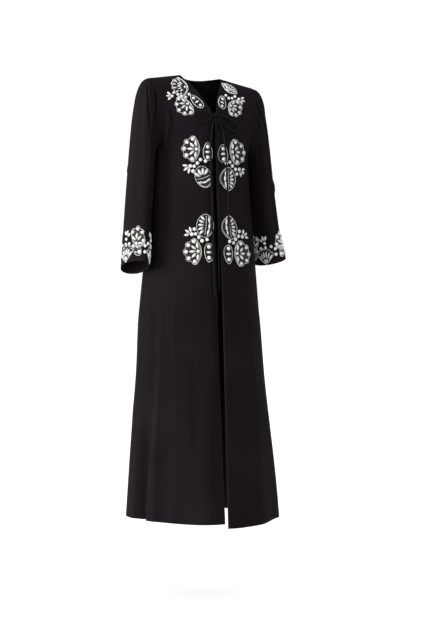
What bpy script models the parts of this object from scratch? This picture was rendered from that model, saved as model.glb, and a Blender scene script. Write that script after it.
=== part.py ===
"""Open-front crepe abaya in the form it hangs in when worn, with its tie and its bead appliques.

Metres, +Z up, +X towards the wearer's left, -Y the wearer's front. The origin is where the
wearer's shoulders hold it: the middle of the neck opening, level with the neck ends of the shoulder
seams. "right" and "left" are the wearer's.
"""
import math
from collections import namedtuple

import bmesh
import bpy
from mathutils import Matrix, Vector
from mathutils.bvhtree import BVHTree

# ---- driving sizes ---------------------------------------------------------------------------
WALL = 0.0015           # cloth with its seam turnings
SEAM_GAP = 0.0003       # between two pieces along a seam
HEAD_GAP = 0.0008       # between an armhole and the head of its sleeve
LEAN = 0.036            # the right shoulder, cuff and hem hang this much higher per metre across
HEM_DROP = 1.36         # neck point to hem
RIGHT, LEFT = -1, 1
SIDE_NAMES = {RIGHT: "right", LEFT: "left"}

# grids: cells across or round a piece, cells down it
FRONT_CELLS = (11, 22)
BACK_CELLS = (10, 22)   # half of the back
SLEEVE_CELLS = (16, 12)

# ---- the body of the garment -----------------------------------------------------------------
# Seven rows from the shoulder seam to the underarm. The edge columns run down the V neckline and
# the top of the front edge, the mid columns round the back neck and down the centre back, and round
# says how far the row bulges from a straight line (0) to a quarter ellipse (1).
Upper = namedtuple("Upper", "edge_x edge_y edge_z mid_x mid_y mid_z round")
UPPER = (
    Upper(0.0680, -0.0006, 0.000, 0.0680, 0.0006, 0.000, 0.00),
    Upper(0.0580, -0.0260, -0.020, 0.0480, 0.0350, -0.002, 0.12),
    Upper(0.0420, -0.0500, -0.045, 0.0000, 0.0500, -0.006, 0.28),
    Upper(0.0250, -0.0720, -0.076, 0.0000, 0.0740, -0.046, 0.42),
    Upper(0.0084, -0.1000, -0.120, 0.0000, 0.0920, -0.100, 0.58),
    Upper(0.0080, -0.1080, -0.180, 0.0000, 0.1060, -0.170, 0.78),
    Upper(0.0078, -0.1110, -0.242, 0.0000, 0.1140, -0.242, 1.00),
)
UNDERARM = len(UPPER) - 1

# Below the underarm every row is level. gap is the distance of each front edge from the middle.
Lower = namedtuple("Lower", "z side_x gap front_y back_y")
LOWER = (
    Lower(-0.242, 0.155, 0.0078, -0.111, 0.114),
    Lower(-0.385, 0.163, 0.0075, -0.120, 0.118),
    Lower(-0.540, 0.176, 0.0070, -0.134, 0.136),
    Lower(-0.690, 0.189, 0.0060, -0.147, 0.156),
    Lower(-0.780, 0.196, 0.0056, -0.153, 0.165),
    Lower(-0.920, 0.203, 0.0054, -0.162, 0.168),
    Lower(-1.060, 0.216, 0.0053, -0.170, 0.173),
    Lower(-1.200, 0.229, 0.0046, -0.179, 0.182),
    Lower(-HEM_DROP, 0.241, 0.0042, -0.191, 0.193),
)

# ---- the armhole and the sleeves -------------------------------------------------------------
# A ring is a tilted oval from its outer point to its inner one. Ring 0 is the armhole itself.
Ring = namedtuple("Ring", "out_x out_z in_x in_z y half_y hollow tilt")
SLEEVE_HEAD = (
    Ring(0.176, -0.020, 0.155, -0.242, 0.000, 0.062, 0.012, 0.000),
    Ring(0.192, -0.030, 0.1590, -0.254, 0.000, 0.066, 0.007, 0.000),
    Ring(0.204, -0.056, 0.1605, -0.270, 0.000, 0.070, 0.002, 0.000),
    Ring(0.214, -0.115, 0.1625, -0.296, 0.000, 0.075, 0.000, 0.000),
    Ring(0.223, -0.200, 0.1650, -0.332, -0.002, 0.079, 0.000, 0.000),
    Ring(0.232, -0.300, 0.1700, -0.385, -0.005, 0.081, 0.000, 0.000),
    Ring(0.242, -0.400, 0.1780, -0.440, -0.010, 0.081, 0.000, 0.004),
)
SLEEVES = {
    RIGHT: SLEEVE_HEAD + (
        Ring(0.2520, -0.500, 0.186, -0.516, -0.014, 0.078, 0.000, 0.009),
        Ring(0.2600, -0.591, 0.192, -0.610, -0.016, 0.077, 0.000, 0.016),
    ),
    LEFT: SLEEVE_HEAD + (
        Ring(0.2550, -0.480, 0.186, -0.496, -0.014, 0.078, 0.000, 0.000),
        Ring(0.2740, -0.545, 0.196, -0.577, -0.018, 0.078, 0.000, -0.003),
    ),
}

# ---- folds -----------------------------------------------------------------------------------
# Folds of the body. turn counts round it: 0 the right front edge, 1 the right side seam, 2 the
# centre back, 3 the left side seam, 4 the left front edge. A fold starts at the height top, is
# deepest at the height full, and lift is out of the cloth (a ridge) or into it (a trough).
Fold = namedtuple("Fold", "turn_top turn_low width top full lift")
FOLDS = (
    Fold(0.61, 0.64, 0.15, -0.72, -1.32, 0.016),    # long ridge on the right front
    Fold(0.78, 0.81, 0.14, -0.82, -1.35, -0.036),   # trough behind it, short of the side seam
    Fold(0.36, 0.34, 0.14, -0.95, -1.36, -0.006),
    Fold(0.14, 0.14, 0.10, -0.70, -1.30, 0.004),
    Fold(1.62, 1.58, 0.14, -0.78, -1.34, -0.016),
    Fold(1.92, 1.84, 0.16, -0.66, -1.36, 0.013),
    Fold(2.14, 2.14, 0.14, -0.84, -1.36, -0.016),
    Fold(2.38, 2.44, 0.16, -0.62, -1.36, 0.014),
    Fold(2.68, 2.70, 0.14, -0.74, -1.32, -0.014),
    Fold(3.24, 3.22, 0.16, -0.96, -1.36, 0.006),
    Fold(3.46, 3.44, 0.14, -0.92, -1.36, -0.004),
    Fold(3.70, 3.66, 0.14, -0.80, -1.36, 0.006),
    Fold(3.88, 3.90, 0.09, -0.13, -0.30, 0.004),    # the left front rolls towards its edge
)
FOLD_FADE = 0.10        # a fold that ends above the hem dies away over this height

# Folds of a sleeve. turn counts round it from 0 (outer line) through 0.25 (front), 0.5 (inner line)
# and 0.75 (back); each fold runs from one place down the sleeve to another.
Crease = namedtuple("Crease", "turn_from down_from turn_to down_to width lift")
CREASES = {
    RIGHT: (
        Crease(0.06, 0.05, 0.20, 0.34, 0.040, -0.006),
        Crease(0.14, 0.04, 0.30, 0.26, 0.035, 0.005),
        Crease(0.93, 0.06, 0.82, 0.32, 0.040, -0.006),
        Crease(0.36, 0.50, 0.18, 0.60, 0.040, -0.005),
        Crease(0.40, 0.62, 0.24, 0.72, 0.035, -0.004),
        Crease(0.70, 0.48, 0.86, 0.62, 0.045, -0.005),
    ),
    LEFT: (
        Crease(0.04, 0.05, 0.16, 0.30, 0.035, -0.005),
        Crease(0.12, 0.04, 0.26, 0.22, 0.035, 0.005),
        Crease(0.95, 0.05, 0.80, 0.36, 0.040, -0.006),
        Crease(0.38, 0.46, 0.20, 0.58, 0.040, -0.005),
        Crease(0.10, 0.62, 0.30, 0.70, 0.045, -0.005),
        Crease(0.66, 0.55, 0.84, 0.66, 0.045, -0.005),
    ),
}

# ---- the tie ---------------------------------------------------------------------------------
CORD = 0.005            # rouleau cord
CORD_STEP = 3.0         # points along a cord, in diameters
KNOT = (0.019, 0.010, 0.015)        # the knot's size
KNOT_AT = Vector((0.0, -0.1078, -0.1290))
KNOT_ROUND = 0.0022
ROUTE_STEPS = 40        # steps between two rows of a route
NEAR_EDGE = 0.0115      # a cord over the front opening lies as high as on the cloth this far out

# Routes of the cords, seen from the front; lift is the cord's middle above the cloth under it.
Route = namedtuple("Route", "x z lift")
LOOPS = {
    "right": (
        Route(-0.0106, -0.1262, 0.0062), Route(-0.0280, -0.1195, 0.0085), Route(-0.0470, -0.1190, 0.0115),
        Route(-0.0620, -0.1255, 0.0115), Route(-0.0680, -0.1365, 0.0115), Route(-0.0610, -0.1470, 0.0110),
        Route(-0.0430, -0.1515, 0.0085), Route(-0.0230, -0.1455, 0.0068), Route(-0.0113, -0.1327, 0.0062),
    ),
    "left": (
        Route(0.0106, -0.1262, 0.0062), Route(0.0270, -0.1300, 0.0080), Route(0.0460, -0.1360, 0.0100),
        Route(0.0660, -0.1430, 0.0110), Route(0.0800, -0.1530, 0.0100), Route(0.0815, -0.1660, 0.0085),
        Route(0.0690, -0.1740, 0.0080), Route(0.0470, -0.1690, 0.0080), Route(0.0250, -0.1530, 0.0075),
        Route(0.0115, -0.1327, 0.0062),
    ),
}
ENDS = {
    "right": (
        Route(-0.0057, -0.1374, 0.0062), Route(-0.0110, -0.170, 0.0070), Route(-0.0200, -0.215, 0.0110),
        Route(-0.0215, -0.300, 0.0115), Route(-0.0220, -0.385, 0.0110), Route(-0.0230, -0.470, 0.0115),
        Route(-0.0235, -0.560, 0.0115), Route(-0.0210, -0.630, 0.0075), Route(-0.0190, -0.682, 0.0060),
    ),
    "middle": (
        Route(0.0, -0.1370, 0.0062), Route(0.0010, -0.180, 0.0050), Route(0.0018, -0.260, 0.0046),
        Route(0.0022, -0.350, 0.0044), Route(0.0020, -0.450, 0.0044), Route(-0.0004, -0.560, 0.0044),
        Route(-0.0015, -0.664, 0.0044),
    ),
    "left": (
        Route(0.0057, -0.1378, 0.0062), Route(0.0170, -0.156, 0.0066), Route(0.0245, -0.184, 0.0076),
        Route(0.0275, -0.225, 0.0112), Route(0.0290, -0.275, 0.0115), Route(0.0300, -0.340, 0.0115),
        Route(0.0310, -0.415, 0.0110), Route(0.0310, -0.500, 0.0115),
    ),
}

# ---- the beads -------------------------------------------------------------------------------
GROUND_GAP = 0.0006     # stitched ground above the cloth
GROUND = 0.0012         # thickness of the ground
PEARL = (0.0060, 0.0048)            # radius, height of a round bead
PETAL = (0.0085, 0.0038, 0.0032)    # half length, half width, height of a long bead
SUNK = 0.8              # a bead's foot, as a share of the ground's thickness
BORDER = 0.0018         # ground round a bead that stands alone
STEM = 0.0070           # half width of the ground between beads, at its middle
OUTLINE_REACH = 0.028   # the outlines that cut the ground reach this far in and out
RAY = 0.1               # how far in front of the cloth a place on it is looked for

# Motifs of an applique. out is away from the front edge and up is up, both from the middle of the
# applique; aim is in degrees from straight out towards up. A fan spreads from its hub with a count
# of petals and rim pearls, a plume with petals only, a leaf and a shell are ovals, a sprig is a
# pearl with petals.
Motif = namedtuple("Motif", "kind out up aim length width count")
BLOSSOM = (
    Motif("fan", -0.0010, 0.0380, 2, 0.0375, 138, 5),
    Motif("leaf", -0.0365, 0.0300, 90, 0.052, 0.029, 1),
    Motif("shell", -0.0220, -0.0460, 87, 0.070, 0.054, 4),
    Motif("sprig", 0.0175, -0.0138, -34, 0.0150, 80, 3),
    Motif("pearl", -0.0290, 0.0020, 0, 0, 0, 1),
    Motif("pearl", -0.0135, 0.0060, 0, 0, 0, 1),
    Motif("pearl", -0.0040, -0.0050, 0, 0, 0, 1),
    Motif("pearl", 0.0060, -0.0147, 0, 0, 0, 1),
    Motif("pearl", 0.0095, -0.0293, 0, 0, 0, 1),
)
# The same with its shell turned, its spine sloping down and out.
BLOSSOM_TURNED = tuple(
    Motif("shell", -0.0215, -0.0465, 160, 0.056, 0.062, 3) if motif.kind == "shell" else motif
    for motif in BLOSSOM
)
# The same with its leaf further out and its shell nearer, for the waist.
MOVED = {
    "leaf": Motif("leaf", -0.0345, 0.0405, 90, 0.054, 0.028, 1),
    "shell": Motif("shell", -0.0235, -0.0400, 84, 0.070, 0.052, 4),
}
BLOSSOM_LOW = tuple(MOVED.get(motif.kind, motif) for motif in BLOSSOM)
COLLAR_RIGHT = (
    Motif("plume", -0.0120, 0.0360, 3, 0.045, 122, 4),
    Motif("leaf", -0.0425, -0.0170, 56, 0.051, 0.026, 1),
    Motif("fan", -0.0120, -0.0240, -36, 0.035, 134, 5),
    Motif("sprig", 0.0345, 0.0005, 0, 0.0125, 84, 3),
    Motif("pearl", 0.0275, 0.0125, 0, 0, 0, 1),
    Motif("pearl", 0.0150, 0.0070, 0, 0, 0, 1),
    Motif("pearl", 0.0035, 0.0020, 0, 0, 0, 1),
    Motif("pearl", -0.0090, -0.0010, 0, 0, 0, 1),
    Motif("pearl", -0.0210, 0.0095, 0, 0, 0, 1),
)
COLLAR_LEFT = (
    Motif("plume", -0.0100, 0.0400, 36, 0.033, 120, 4),
    Motif("leaf", -0.0440, -0.0085, 68, 0.048, 0.025, 1),
    Motif("fan", -0.0125, -0.0155, -36, 0.034, 130, 5),
    Motif("sprig", 0.0134, 0.0081, -5, 0.0115, 90, 3),
    Motif("pearl", -0.0235, 0.0200, 0, 0, 0, 1),
    Motif("pearl", -0.0155, 0.0105, 0, 0, 0, 1),
    Motif("pearl", -0.0030, 0.0115, 0, 0, 0, 1),
    Motif("pearl", 0.0085, 0.0180, 0, 0, 0, 1),
)
# Chains of ground between the motifs, each a list of places it runs through.
BLOSSOM_CHAINS = (
    ((-0.0345, 0.022), (-0.0290, 0.002), (-0.0135, 0.006), (-0.004, -0.005), (0.006, -0.0147),
     (0.0175, -0.0138)),
    ((-0.0135, 0.006), (-0.004, 0.028)),
    ((0.006, -0.0147), (0.0095, -0.0293), (-0.004, -0.034)),
)
COLLAR_RIGHT_CHAINS = (
    ((-0.035, -0.008), (-0.021, 0.0095), (-0.009, -0.001), (0.0035, 0.002), (0.015, 0.007),
     (0.0275, 0.0125), (0.0345, 0.0005)),
    ((0.0035, 0.002), (-0.004, 0.020)),
    ((-0.009, -0.001), (-0.008, -0.018)),
)
COLLAR_LEFT_CHAINS = (
    ((-0.039, 0.002), (-0.0235, 0.020), (-0.0155, 0.0105), (-0.003, 0.0115), (0.0085, 0.018)),
    ((-0.003, 0.0115), (0.0134, 0.0081)),
    ((-0.0235, 0.020), (-0.012, 0.036)),
    ((0.0085, 0.018), (0.002, 0.036)),
    ((-0.0155, 0.0105), (-0.0095, -0.006)),
)
# Where each applique lies: its middle on the front, and whether it is turned upside down.
Pattern = namedtuple("Pattern", "motifs chains")
Applique = namedtuple("Applique", "right left x z flip beads")
COLLARS = (Pattern(COLLAR_RIGHT, COLLAR_RIGHT_CHAINS), Pattern(COLLAR_LEFT, COLLAR_LEFT_CHAINS))
BUSTS = (Pattern(BLOSSOM_TURNED, BLOSSOM_CHAINS), Pattern(BLOSSOM, BLOSSOM_CHAINS))
WAIST = Pattern(BLOSSOM_LOW, BLOSSOM_CHAINS)
APPLIQUES = {
    "chest": Applique(*COLLARS, 0.086, -0.076, 1, 0.78),
    "bust": Applique(*BUSTS, 0.0620, -0.2745, 1, 0.96),
    "waist": Applique(WAIST, WAIST, 0.0650, -0.509, -1, 0.96),
}
# The left front turns further from the middle, so its beads are laid this much wider there.
WIDER = {RIGHT: 1.0, LEFT: 1.45}
# One repeat of the band round a cuff; here out runs round the sleeve and up starts at its hem.
CUFF_REPEATS = 3
CUFF_START = {RIGHT: 0.345, LEFT: 0.400}   # turn of the first repeat on each sleeve
CUFF_ROUND = 0.1307     # width of a repeat
CUFF_BEADS = 0.86       # size of its beads
CUFF_LONG = 0.600       # length of the sleeve
CUFF_MOTIFS = (
    Motif("half_shell", -0.0040, 0.0060, 90, 0.047, 84, 0),
    Motif("half_shell", 0.0850, 0.0410, 112, 0.050, 96, 0),
    Motif("half_shell", 0.0000, 0.0500, 100, 0.041, 62, 0),
    Motif("half_shell", 0.0680, 0.0200, 90, 0.018, 64, 0),
    Motif("pearl", 0.0680, 0.0290, 0, 0, 0, 1),
)
CUFF_CHAINS = (
    ((0.0000, 0.0680), (0.0010, 0.0510), (0.0240, 0.0520), (0.0400, 0.0450), (0.0640, 0.0400),
     (0.0820, 0.0480), (0.0950, 0.0430), (0.1130, 0.0500), (0.1317, 0.0510)),
    ((0.0010, 0.0510), (-0.0020, 0.0300)),
    ((0.0640, 0.0400), (0.0680, 0.0290)),
)

MATERIALS = {
    "crepe": ((0.016, 0.014, 0.018), 0.78, 0.0),
    "tie_cord": ((0.012, 0.011, 0.013), 0.60, 0.0),
    "beadwork": ((0.78, 0.77, 0.74), 0.25, 0.0),
}


# ---- helpers ---------------------------------------------------------------------------------
def clear_scene():
    for obj in list(bpy.data.objects):
        bpy.data.objects.remove(obj)


def collection(name):
    made = bpy.data.collections.new(name)
    bpy.context.scene.collection.children.link(made)
    return made


def material(name):
    colour, roughness, metallic = MATERIALS[name]
    made = bpy.data.materials.get(name)
    if made is None:
        made = bpy.data.materials.new(name)
        made.use_nodes = True
        shader = made.node_tree.nodes["Principled BSDF"]
        shader.inputs["Base Color"].default_value = (*colour, 1.0)
        shader.inputs["Roughness"].default_value = roughness
        shader.inputs["Metallic"].default_value = metallic
    return made


def add_object(name, bm, material_name, group, smooth=True):
    mesh = bpy.data.meshes.new(name)
    bm.to_mesh(mesh)
    bm.free()
    if smooth:
        mesh.shade_smooth()
    mesh.materials.append(material(material_name))
    obj = bpy.data.objects.new(name, mesh)
    group.objects.link(obj)
    return obj


def smooth_row(rows, at):
    """A row between two rows of a table, every column on one smooth curve through them."""
    low = max(0, min(int(at), len(rows) - 2))
    part = at - low
    before, after = rows[max(low - 1, 0)], rows[min(low + 2, len(rows) - 1)]
    values = []
    for a, b, c, d in zip(before, rows[low], rows[low + 1], after):
        bend = (2 * a - 5 * b + 4 * c - d) * part ** 2 + (3 * b - a - 3 * c + d) * part ** 3
        values.append(b + 0.5 * ((c - a) * part + bend))
    return type(rows[0])(*values)


def ease(value):
    value = max(0.0, min(1.0, value))
    return value * value * (3 - 2 * value)


def hill(distance, width):
    """1 on the line of a fold, 0 at its width and beyond."""
    return 0.5 + 0.5 * math.cos(math.pi * min(1.0, abs(distance) / width))


def hang(point):
    """The slight lean of the whole garment as it is worn."""
    return Vector((point.x, point.y, point.z - LEAN * point.x))


def normal_at(surface, across, down):
    step = 1e-3
    one = surface(across + step, down) - surface(across - step, down)
    two = surface(across, down + step) - surface(across, down - step)
    return two.cross(one).normalized()


# ---- surfaces --------------------------------------------------------------------------------
def ring_point(ring, turn):
    angle = 2 * math.pi * turn
    middle_x, half_x = (ring.out_x + ring.in_x) / 2, (ring.out_x - ring.in_x) / 2
    middle_z, half_z = (ring.out_z + ring.in_z) / 2, (ring.out_z - ring.in_z) / 2
    return Vector((
        middle_x + half_x * math.cos(angle) - ring.hollow * math.sin(angle) ** 2,
        ring.y - ring.half_y * math.sin(angle),
        middle_z + half_z * math.cos(angle) + ring.tilt * math.sin(angle),
    ))


def body_row(at, towards):
    """The outer point, inner point and bulge of one row of a front (-1) or of half the back (1)."""
    if at <= UNDERARM:
        row = smooth_row(UPPER, at)
        turn = 0.5 * at / UNDERARM
        outer = ring_point(SLEEVE_HEAD[0], turn if towards < 0 else 1 - turn)
        if towards < 0:
            return outer, Vector((row.edge_x, row.edge_y, row.edge_z)), row.round
        return outer, Vector((max(row.mid_x, 0.0), row.mid_y, row.mid_z)), row.round
    row = smooth_row(LOWER, at - UNDERARM)
    middle_y = (row.front_y + row.back_y) / 2
    side_y = middle_y * ease(2 * (at - UNDERARM))
    if towards < 0:
        return Vector((row.side_x, side_y, row.z)), Vector((row.gap, row.front_y, row.z)), 1.0
    return Vector((row.side_x, side_y, row.z)), Vector((0.0, row.back_y, row.z)), 1.0


def body_point(across, at, towards):
    """across runs from 0 at the armhole and side seam to 1 at the front edge or the centre back."""
    outer, inner, bulge = body_row(at, towards)
    quarter = math.pi / 2 * across
    along_x = (1 - bulge) * across + bulge * (1 - math.cos(quarter))
    along_y = (1 - bulge) * across + bulge * math.sin(quarter)
    return Vector((
        outer.x + (inner.x - outer.x) * along_x,
        outer.y + (inner.y - outer.y) * along_y,
        outer.z + (inner.z - outer.z) * across,
    ))


def body_outward(across, at, towards):
    """Straight out of the unfolded cloth. Along a seam it is the same for both pieces."""
    def plain(one, two):
        return body_point(one, two, towards)
    outward = normal_at(plain, across, at) * towards
    if at == 0:
        outward.y = 0.0
    return outward.normalized()


def fold_lift(turn, height):
    lift = 0.0
    for fold in FOLDS:
        grown = ease((fold.top - height) / (fold.top - fold.full))
        faded = 1 - ease((fold.full - FOLD_FADE - height) / (3 * FOLD_FADE))
        line = fold.turn_top + (fold.turn_low - fold.turn_top) * grown
        lift += fold.lift * grown * faded * hill(turn - line, fold.width)
    return lift


def panel_place(across, at, towards, side):
    """A point on the outer face of a body piece, folds and all, and the way out of the cloth."""
    point = body_point(across, at, towards)
    outward = body_outward(across, at, towards)
    turn = 1 + towards * across if side == RIGHT else 3 - towards * across
    point += outward * fold_lift(turn, point.z)
    flip = Vector((side, 1, 1))
    return hang(point * flip), outward * flip


def sleeve_point(turn, down, side):
    """A point on the outer face of a sleeve; down runs from 0 at the armhole to 1 at the cuff."""
    rings = SLEEVES[side]

    def plain(one, two):
        return ring_point(smooth_row(rings, two * (len(rings) - 1)), one)
    point = plain(turn, down)
    lift = 0.0
    for crease in CREASES[side]:
        part = (down - crease.down_from) / (crease.down_to - crease.down_from)
        if 0 < part < 1:
            line = crease.turn_from + (crease.turn_to - crease.turn_from) * part
            away = abs((turn - line + 0.5) % 1 - 0.5)
            lift += crease.lift * math.sin(math.pi * part) ** 0.7 * hill(away, crease.width)
    if lift:
        point += normal_at(plain, turn, down) * lift
    return hang(Vector((point.x * side, point.y, point.z)))


# ---- cloth pieces ----------------------------------------------------------------------------
def row_at(down):
    """The table row at a share of the way down, with grid rows closer together at the shoulder."""
    return (UNDERARM + len(LOWER) - 1) * (0.45 * down + 0.55 * down ** 1.25)


def grid(cells, place, faces_out):
    """A grid of cells, each point of it placed by its column and row number."""
    bm = bmesh.new()
    bmesh.ops.create_grid(bm, x_segments=cells[0], y_segments=cells[1], size=0.5)
    inward = bm.verts.layers.float_vector.new("inward")
    for vert in bm.verts:
        column = round((vert.co.x + 0.5) * cells[0])
        row = round((vert.co.y + 0.5) * cells[1])
        vert.co, outward = place(column, row)
        vert[inward] = -outward
    bmesh.ops.triangulate(bm, faces=bm.faces, quad_method="FIXED")
    if not faces_out:
        bmesh.ops.reverse_faces(bm, faces=bm.faces)
    return bm


def give_wall(bm):
    """The inner face of the cloth and its cut edges. It goes straight in, so seams stay parallel."""
    inward = bm.verts.layers.float_vector["inward"]
    rims = [edge for edge in bm.edges if edge.is_boundary]
    copied = bmesh.ops.duplicate(bm, geom=bm.verts[:] + bm.edges[:] + bm.faces[:])
    inner = copied["geom"]
    for vert in inner:
        if isinstance(vert, bmesh.types.BMVert):
            vert.co += Vector(vert[inward]) * WALL
    bmesh.ops.reverse_faces(bm, faces=[part for part in inner if isinstance(part, bmesh.types.BMFace)])
    rims += [part for part in inner if isinstance(part, bmesh.types.BMEdge) and part.is_boundary]
    bmesh.ops.bridge_loops(bm, edges=rims)


def body_piece(cells, towards, side):
    """A front, or half of the back, as an open grid. Its seams stay half a gap short of the other's."""
    away = Vector((0.0, towards * SEAM_GAP / 2, 0.0))

    def place(column, row):
        point, outward = panel_place(column / cells[0], row_at(row / cells[1]), towards, side)
        return (point + away if column == 0 or row == 0 else point), outward
    return grid(cells, place, (side == LEFT) == (towards < 0))


def front(side, group):
    bm = body_piece(FRONT_CELLS, -1, side)
    give_wall(bm)
    return add_object(f"front_{SIDE_NAMES[side]}", bm, "crepe", group)


def back(group):
    whole = bmesh.new()
    for side in (RIGHT, LEFT):
        half = body_piece(BACK_CELLS, 1, side)
        mesh = bpy.data.meshes.new("half")
        half.to_mesh(mesh)
        half.free()
        whole.from_mesh(mesh)
        bpy.data.meshes.remove(mesh)
    bmesh.ops.remove_doubles(whole, verts=whole.verts, dist=1e-5)
    give_wall(whole)
    add_object("back", whole, "crepe", group)


def sleeve_cloth(side):
    def place(column, row):
        turn, down = column % SLEEVE_CELLS[0] / SLEEVE_CELLS[0], row / SLEEVE_CELLS[1]
        point = sleeve_point(turn, down, side)
        if row == 0:
            point.x += side * HEAD_GAP
        return point, Vector()
    bm = grid(SLEEVE_CELLS, place, side == LEFT)
    bmesh.ops.remove_doubles(bm, verts=bm.verts, dist=1e-6)
    return bm


def solidify(obj, thickness):
    wall = obj.modifiers.new("wall", "SOLIDIFY")
    wall.thickness = thickness
    wall.offset = -1.0


def sleeve(side, group):
    obj = add_object(f"sleeve_{SIDE_NAMES[side]}", sleeve_cloth(side), "crepe", group)
    solidify(obj, WALL)


# ---- beads -----------------------------------------------------------------------------------
class Heaps:
    """Closed shapes that overlap: the tall outlines that cut the ground, and the beads on it."""

    def __init__(self, frames, side, size):
        self.ground, self.beads = bmesh.new(), bmesh.new()
        self.frames, self.side, self.size = frames, side, size
        self.wider = 1.0

    def frame_at(self, out, up):
        return self.frames(out * self.wider if out > 0 else out, up)

    def outline(self, sides, place, turn, reach):
        stretch = Matrix.Diagonal((self.wider if place[0] > 0 else 1.0, 1.0, 1.0, 1.0))
        frame = self.frame_at(*place) @ stretch @ Matrix.Rotation(turn * self.side, 4, "Z")
        cone(self.ground, sides, frame @ Matrix.Diagonal((*reach, 2 * OUTLINE_REACH, 1.0)), 1.0)

    def bead(self, sides, place, turn, size, top):
        *reach, height = (self.size * value for value in size)
        base = Matrix.Translation((0, 0, GROUND_GAP + GROUND * SUNK + height / 2))
        frame = self.frame_at(*place) @ Matrix.Rotation(turn * self.side, 4, "Z") @ base
        cone(self.beads, sides, frame @ Matrix.Diagonal((*reach, height, 1.0)), top)

    def pearl(self, place):
        self.bead(5, place, 0.3, (PEARL[0], *PEARL), 0.55)

    def petal(self, place, aim):
        self.bead(4, place, aim, PETAL, 0.0)


def cone(bm, sides, matrix, top):
    made = bmesh.ops.create_cone(
        bm, cap_ends=True, segments=sides, radius1=1.0, radius2=top, depth=1.0,
    )["verts"]
    bmesh.ops.transform(bm, matrix=matrix, verts=made)


def around(place, angle, distance):
    return (place[0] + distance * math.cos(angle), place[1] + distance * math.sin(angle))


def fan(heaps, hub, aim, reach, spread, count):
    """Pearls along a round rim and a petal pointing at each from the hub."""
    heaps.outline(8, around(hub, aim, 0.42 * reach), aim, (0.76 * reach, 1.04 * reach))
    heaps.pearl(hub)
    for step in range(count):
        angle = aim + spread * (step / (count - 1) - 0.5)
        far = reach * (0.86 + 0.10 * math.cos(angle - aim))
        heaps.pearl(around(hub, angle, far))
        heaps.petal(around(hub, angle, 0.49 * reach), angle)


def plume(heaps, hub, aim, reach, spread, count):
    """The ground of a fan with long petals and no rim pearls."""
    heaps.outline(8, around(hub, aim, 0.42 * reach), aim, (0.70 * reach, 0.98 * reach))
    heaps.pearl(hub)
    for step in range(count):
        angle = aim + spread * (step / (count - 1) - 0.5)
        heaps.petal(around(hub, angle, 0.68 * reach), angle)


def half_shell(heaps, hub, aim, reach, spread, _count):
    """A fan of stitched ground, its petals left to finer work."""
    width = reach * math.sin(spread / 2)
    heaps.outline(6, around(hub, aim, 0.5 * reach), aim, (0.55 * reach, width))


def leaf(heaps, place, aim, length, width, _count):
    """An oval with a pearl near each end and a petal across its middle."""
    heaps.outline(6, place, aim, (length / 2, width / 2))
    for end in (-1, 1):
        heaps.pearl(around(place, aim, end * 0.31 * length))
    heaps.petal(place, aim + math.pi / 2)


def shell(heaps, place, aim, length, width, count):
    """A big oval ribbed with petals on its outer side and edged with them on its inner side."""
    heaps.outline(8, place, aim, (length / 2, width / 2))
    across = aim - math.pi / 2
    for step in range(count):
        part = step - (count - 1) / 2
        spot = around(around(place, aim, part * 0.21 * length), across, 0.22 * width)
        heaps.petal(spot, across + part * 0.25)
    for part in (-0.6, 0.6):
        spot = around(around(place, aim, part * 0.30 * length), across, -0.26 * width)
        heaps.petal(spot, aim - part * 0.4)


def sprig(heaps, hub, aim, reach, spread, count):
    width = reach * math.sin(spread / 2) + PETAL[1] + BORDER
    heaps.outline(5, around(hub, aim, 0.60 * reach), aim, (1.15 * reach, width))
    heaps.pearl(hub)
    for step in range(count):
        angle = aim + spread * (step / (count - 1) - 0.5)
        heaps.petal(around(hub, angle, reach), angle)


def stem(heaps, one, two):
    """Ground between two beads of a chain."""
    gap = Vector(two) - Vector(one)
    middle = (Vector(one) + Vector(two)) / 2
    heaps.outline(4, middle, math.atan2(gap.y, gap.x), (gap.length * 0.68, STEM))


def lay_chains(heaps, chains, flip, shift=0.0):
    for chain in chains:
        places = [(out + shift, flip * up) for out, up in chain]
        for one, two in zip(places, places[1:]):
            stem(heaps, one, two)


SPREADING = {"fan": fan, "plume": plume, "half_shell": half_shell, "sprig": sprig}
OVAL = {"leaf": leaf, "shell": shell}


def lay_motifs(heaps, motifs, flip, shift=0.0):
    for motif in motifs:
        place = (motif.out + shift, flip * motif.up)
        aim = math.radians(flip * motif.aim)
        if motif.kind == "pearl":
            heaps.pearl(place)
        elif motif.kind in SPREADING:
            spread = math.radians(motif.width)
            SPREADING[motif.kind](heaps, place, aim, motif.length, spread, motif.count)
        else:
            OVAL[motif.kind](heaps, place, aim, motif.length, motif.width, motif.count)


def helper(name, bm, group):
    mesh = bpy.data.meshes.new(name)
    bm.to_mesh(mesh)
    bm.free()
    obj = bpy.data.objects.new(name, mesh)
    obj.hide_render = True
    obj.display_type = "WIRE"
    group.objects.link(obj)
    return obj


def beadwork(name, cloth, heaps, group, cutters):
    """The ground is the cloth's own points moved out and cut to the outlines; the beads join it."""
    cloth.normal_update()
    for vert, outward in [(vert, vert.normal.copy()) for vert in cloth.verts]:
        vert.co += outward * (GROUND_GAP + GROUND)
    body = add_object(name, cloth, "beadwork", group, smooth=False)
    solidify(body, GROUND)
    for operation, heap in (("INTERSECT", heaps.ground), ("UNION", heaps.beads)):
        join = body.modifiers.new(operation.lower(), "BOOLEAN")
        join.operation = operation
        join.object = helper(f"{name}_{operation.lower()}", heap, cutters)
        join.use_self = True


def frame(place, out, facing):
    """A frame that stands on the cloth, its X along out."""
    along = (out - facing * out.dot(facing)).normalized()
    turned = Matrix((along, facing.cross(along), facing)).transposed().to_4x4()
    return Matrix.Translation(place) @ turned


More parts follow.
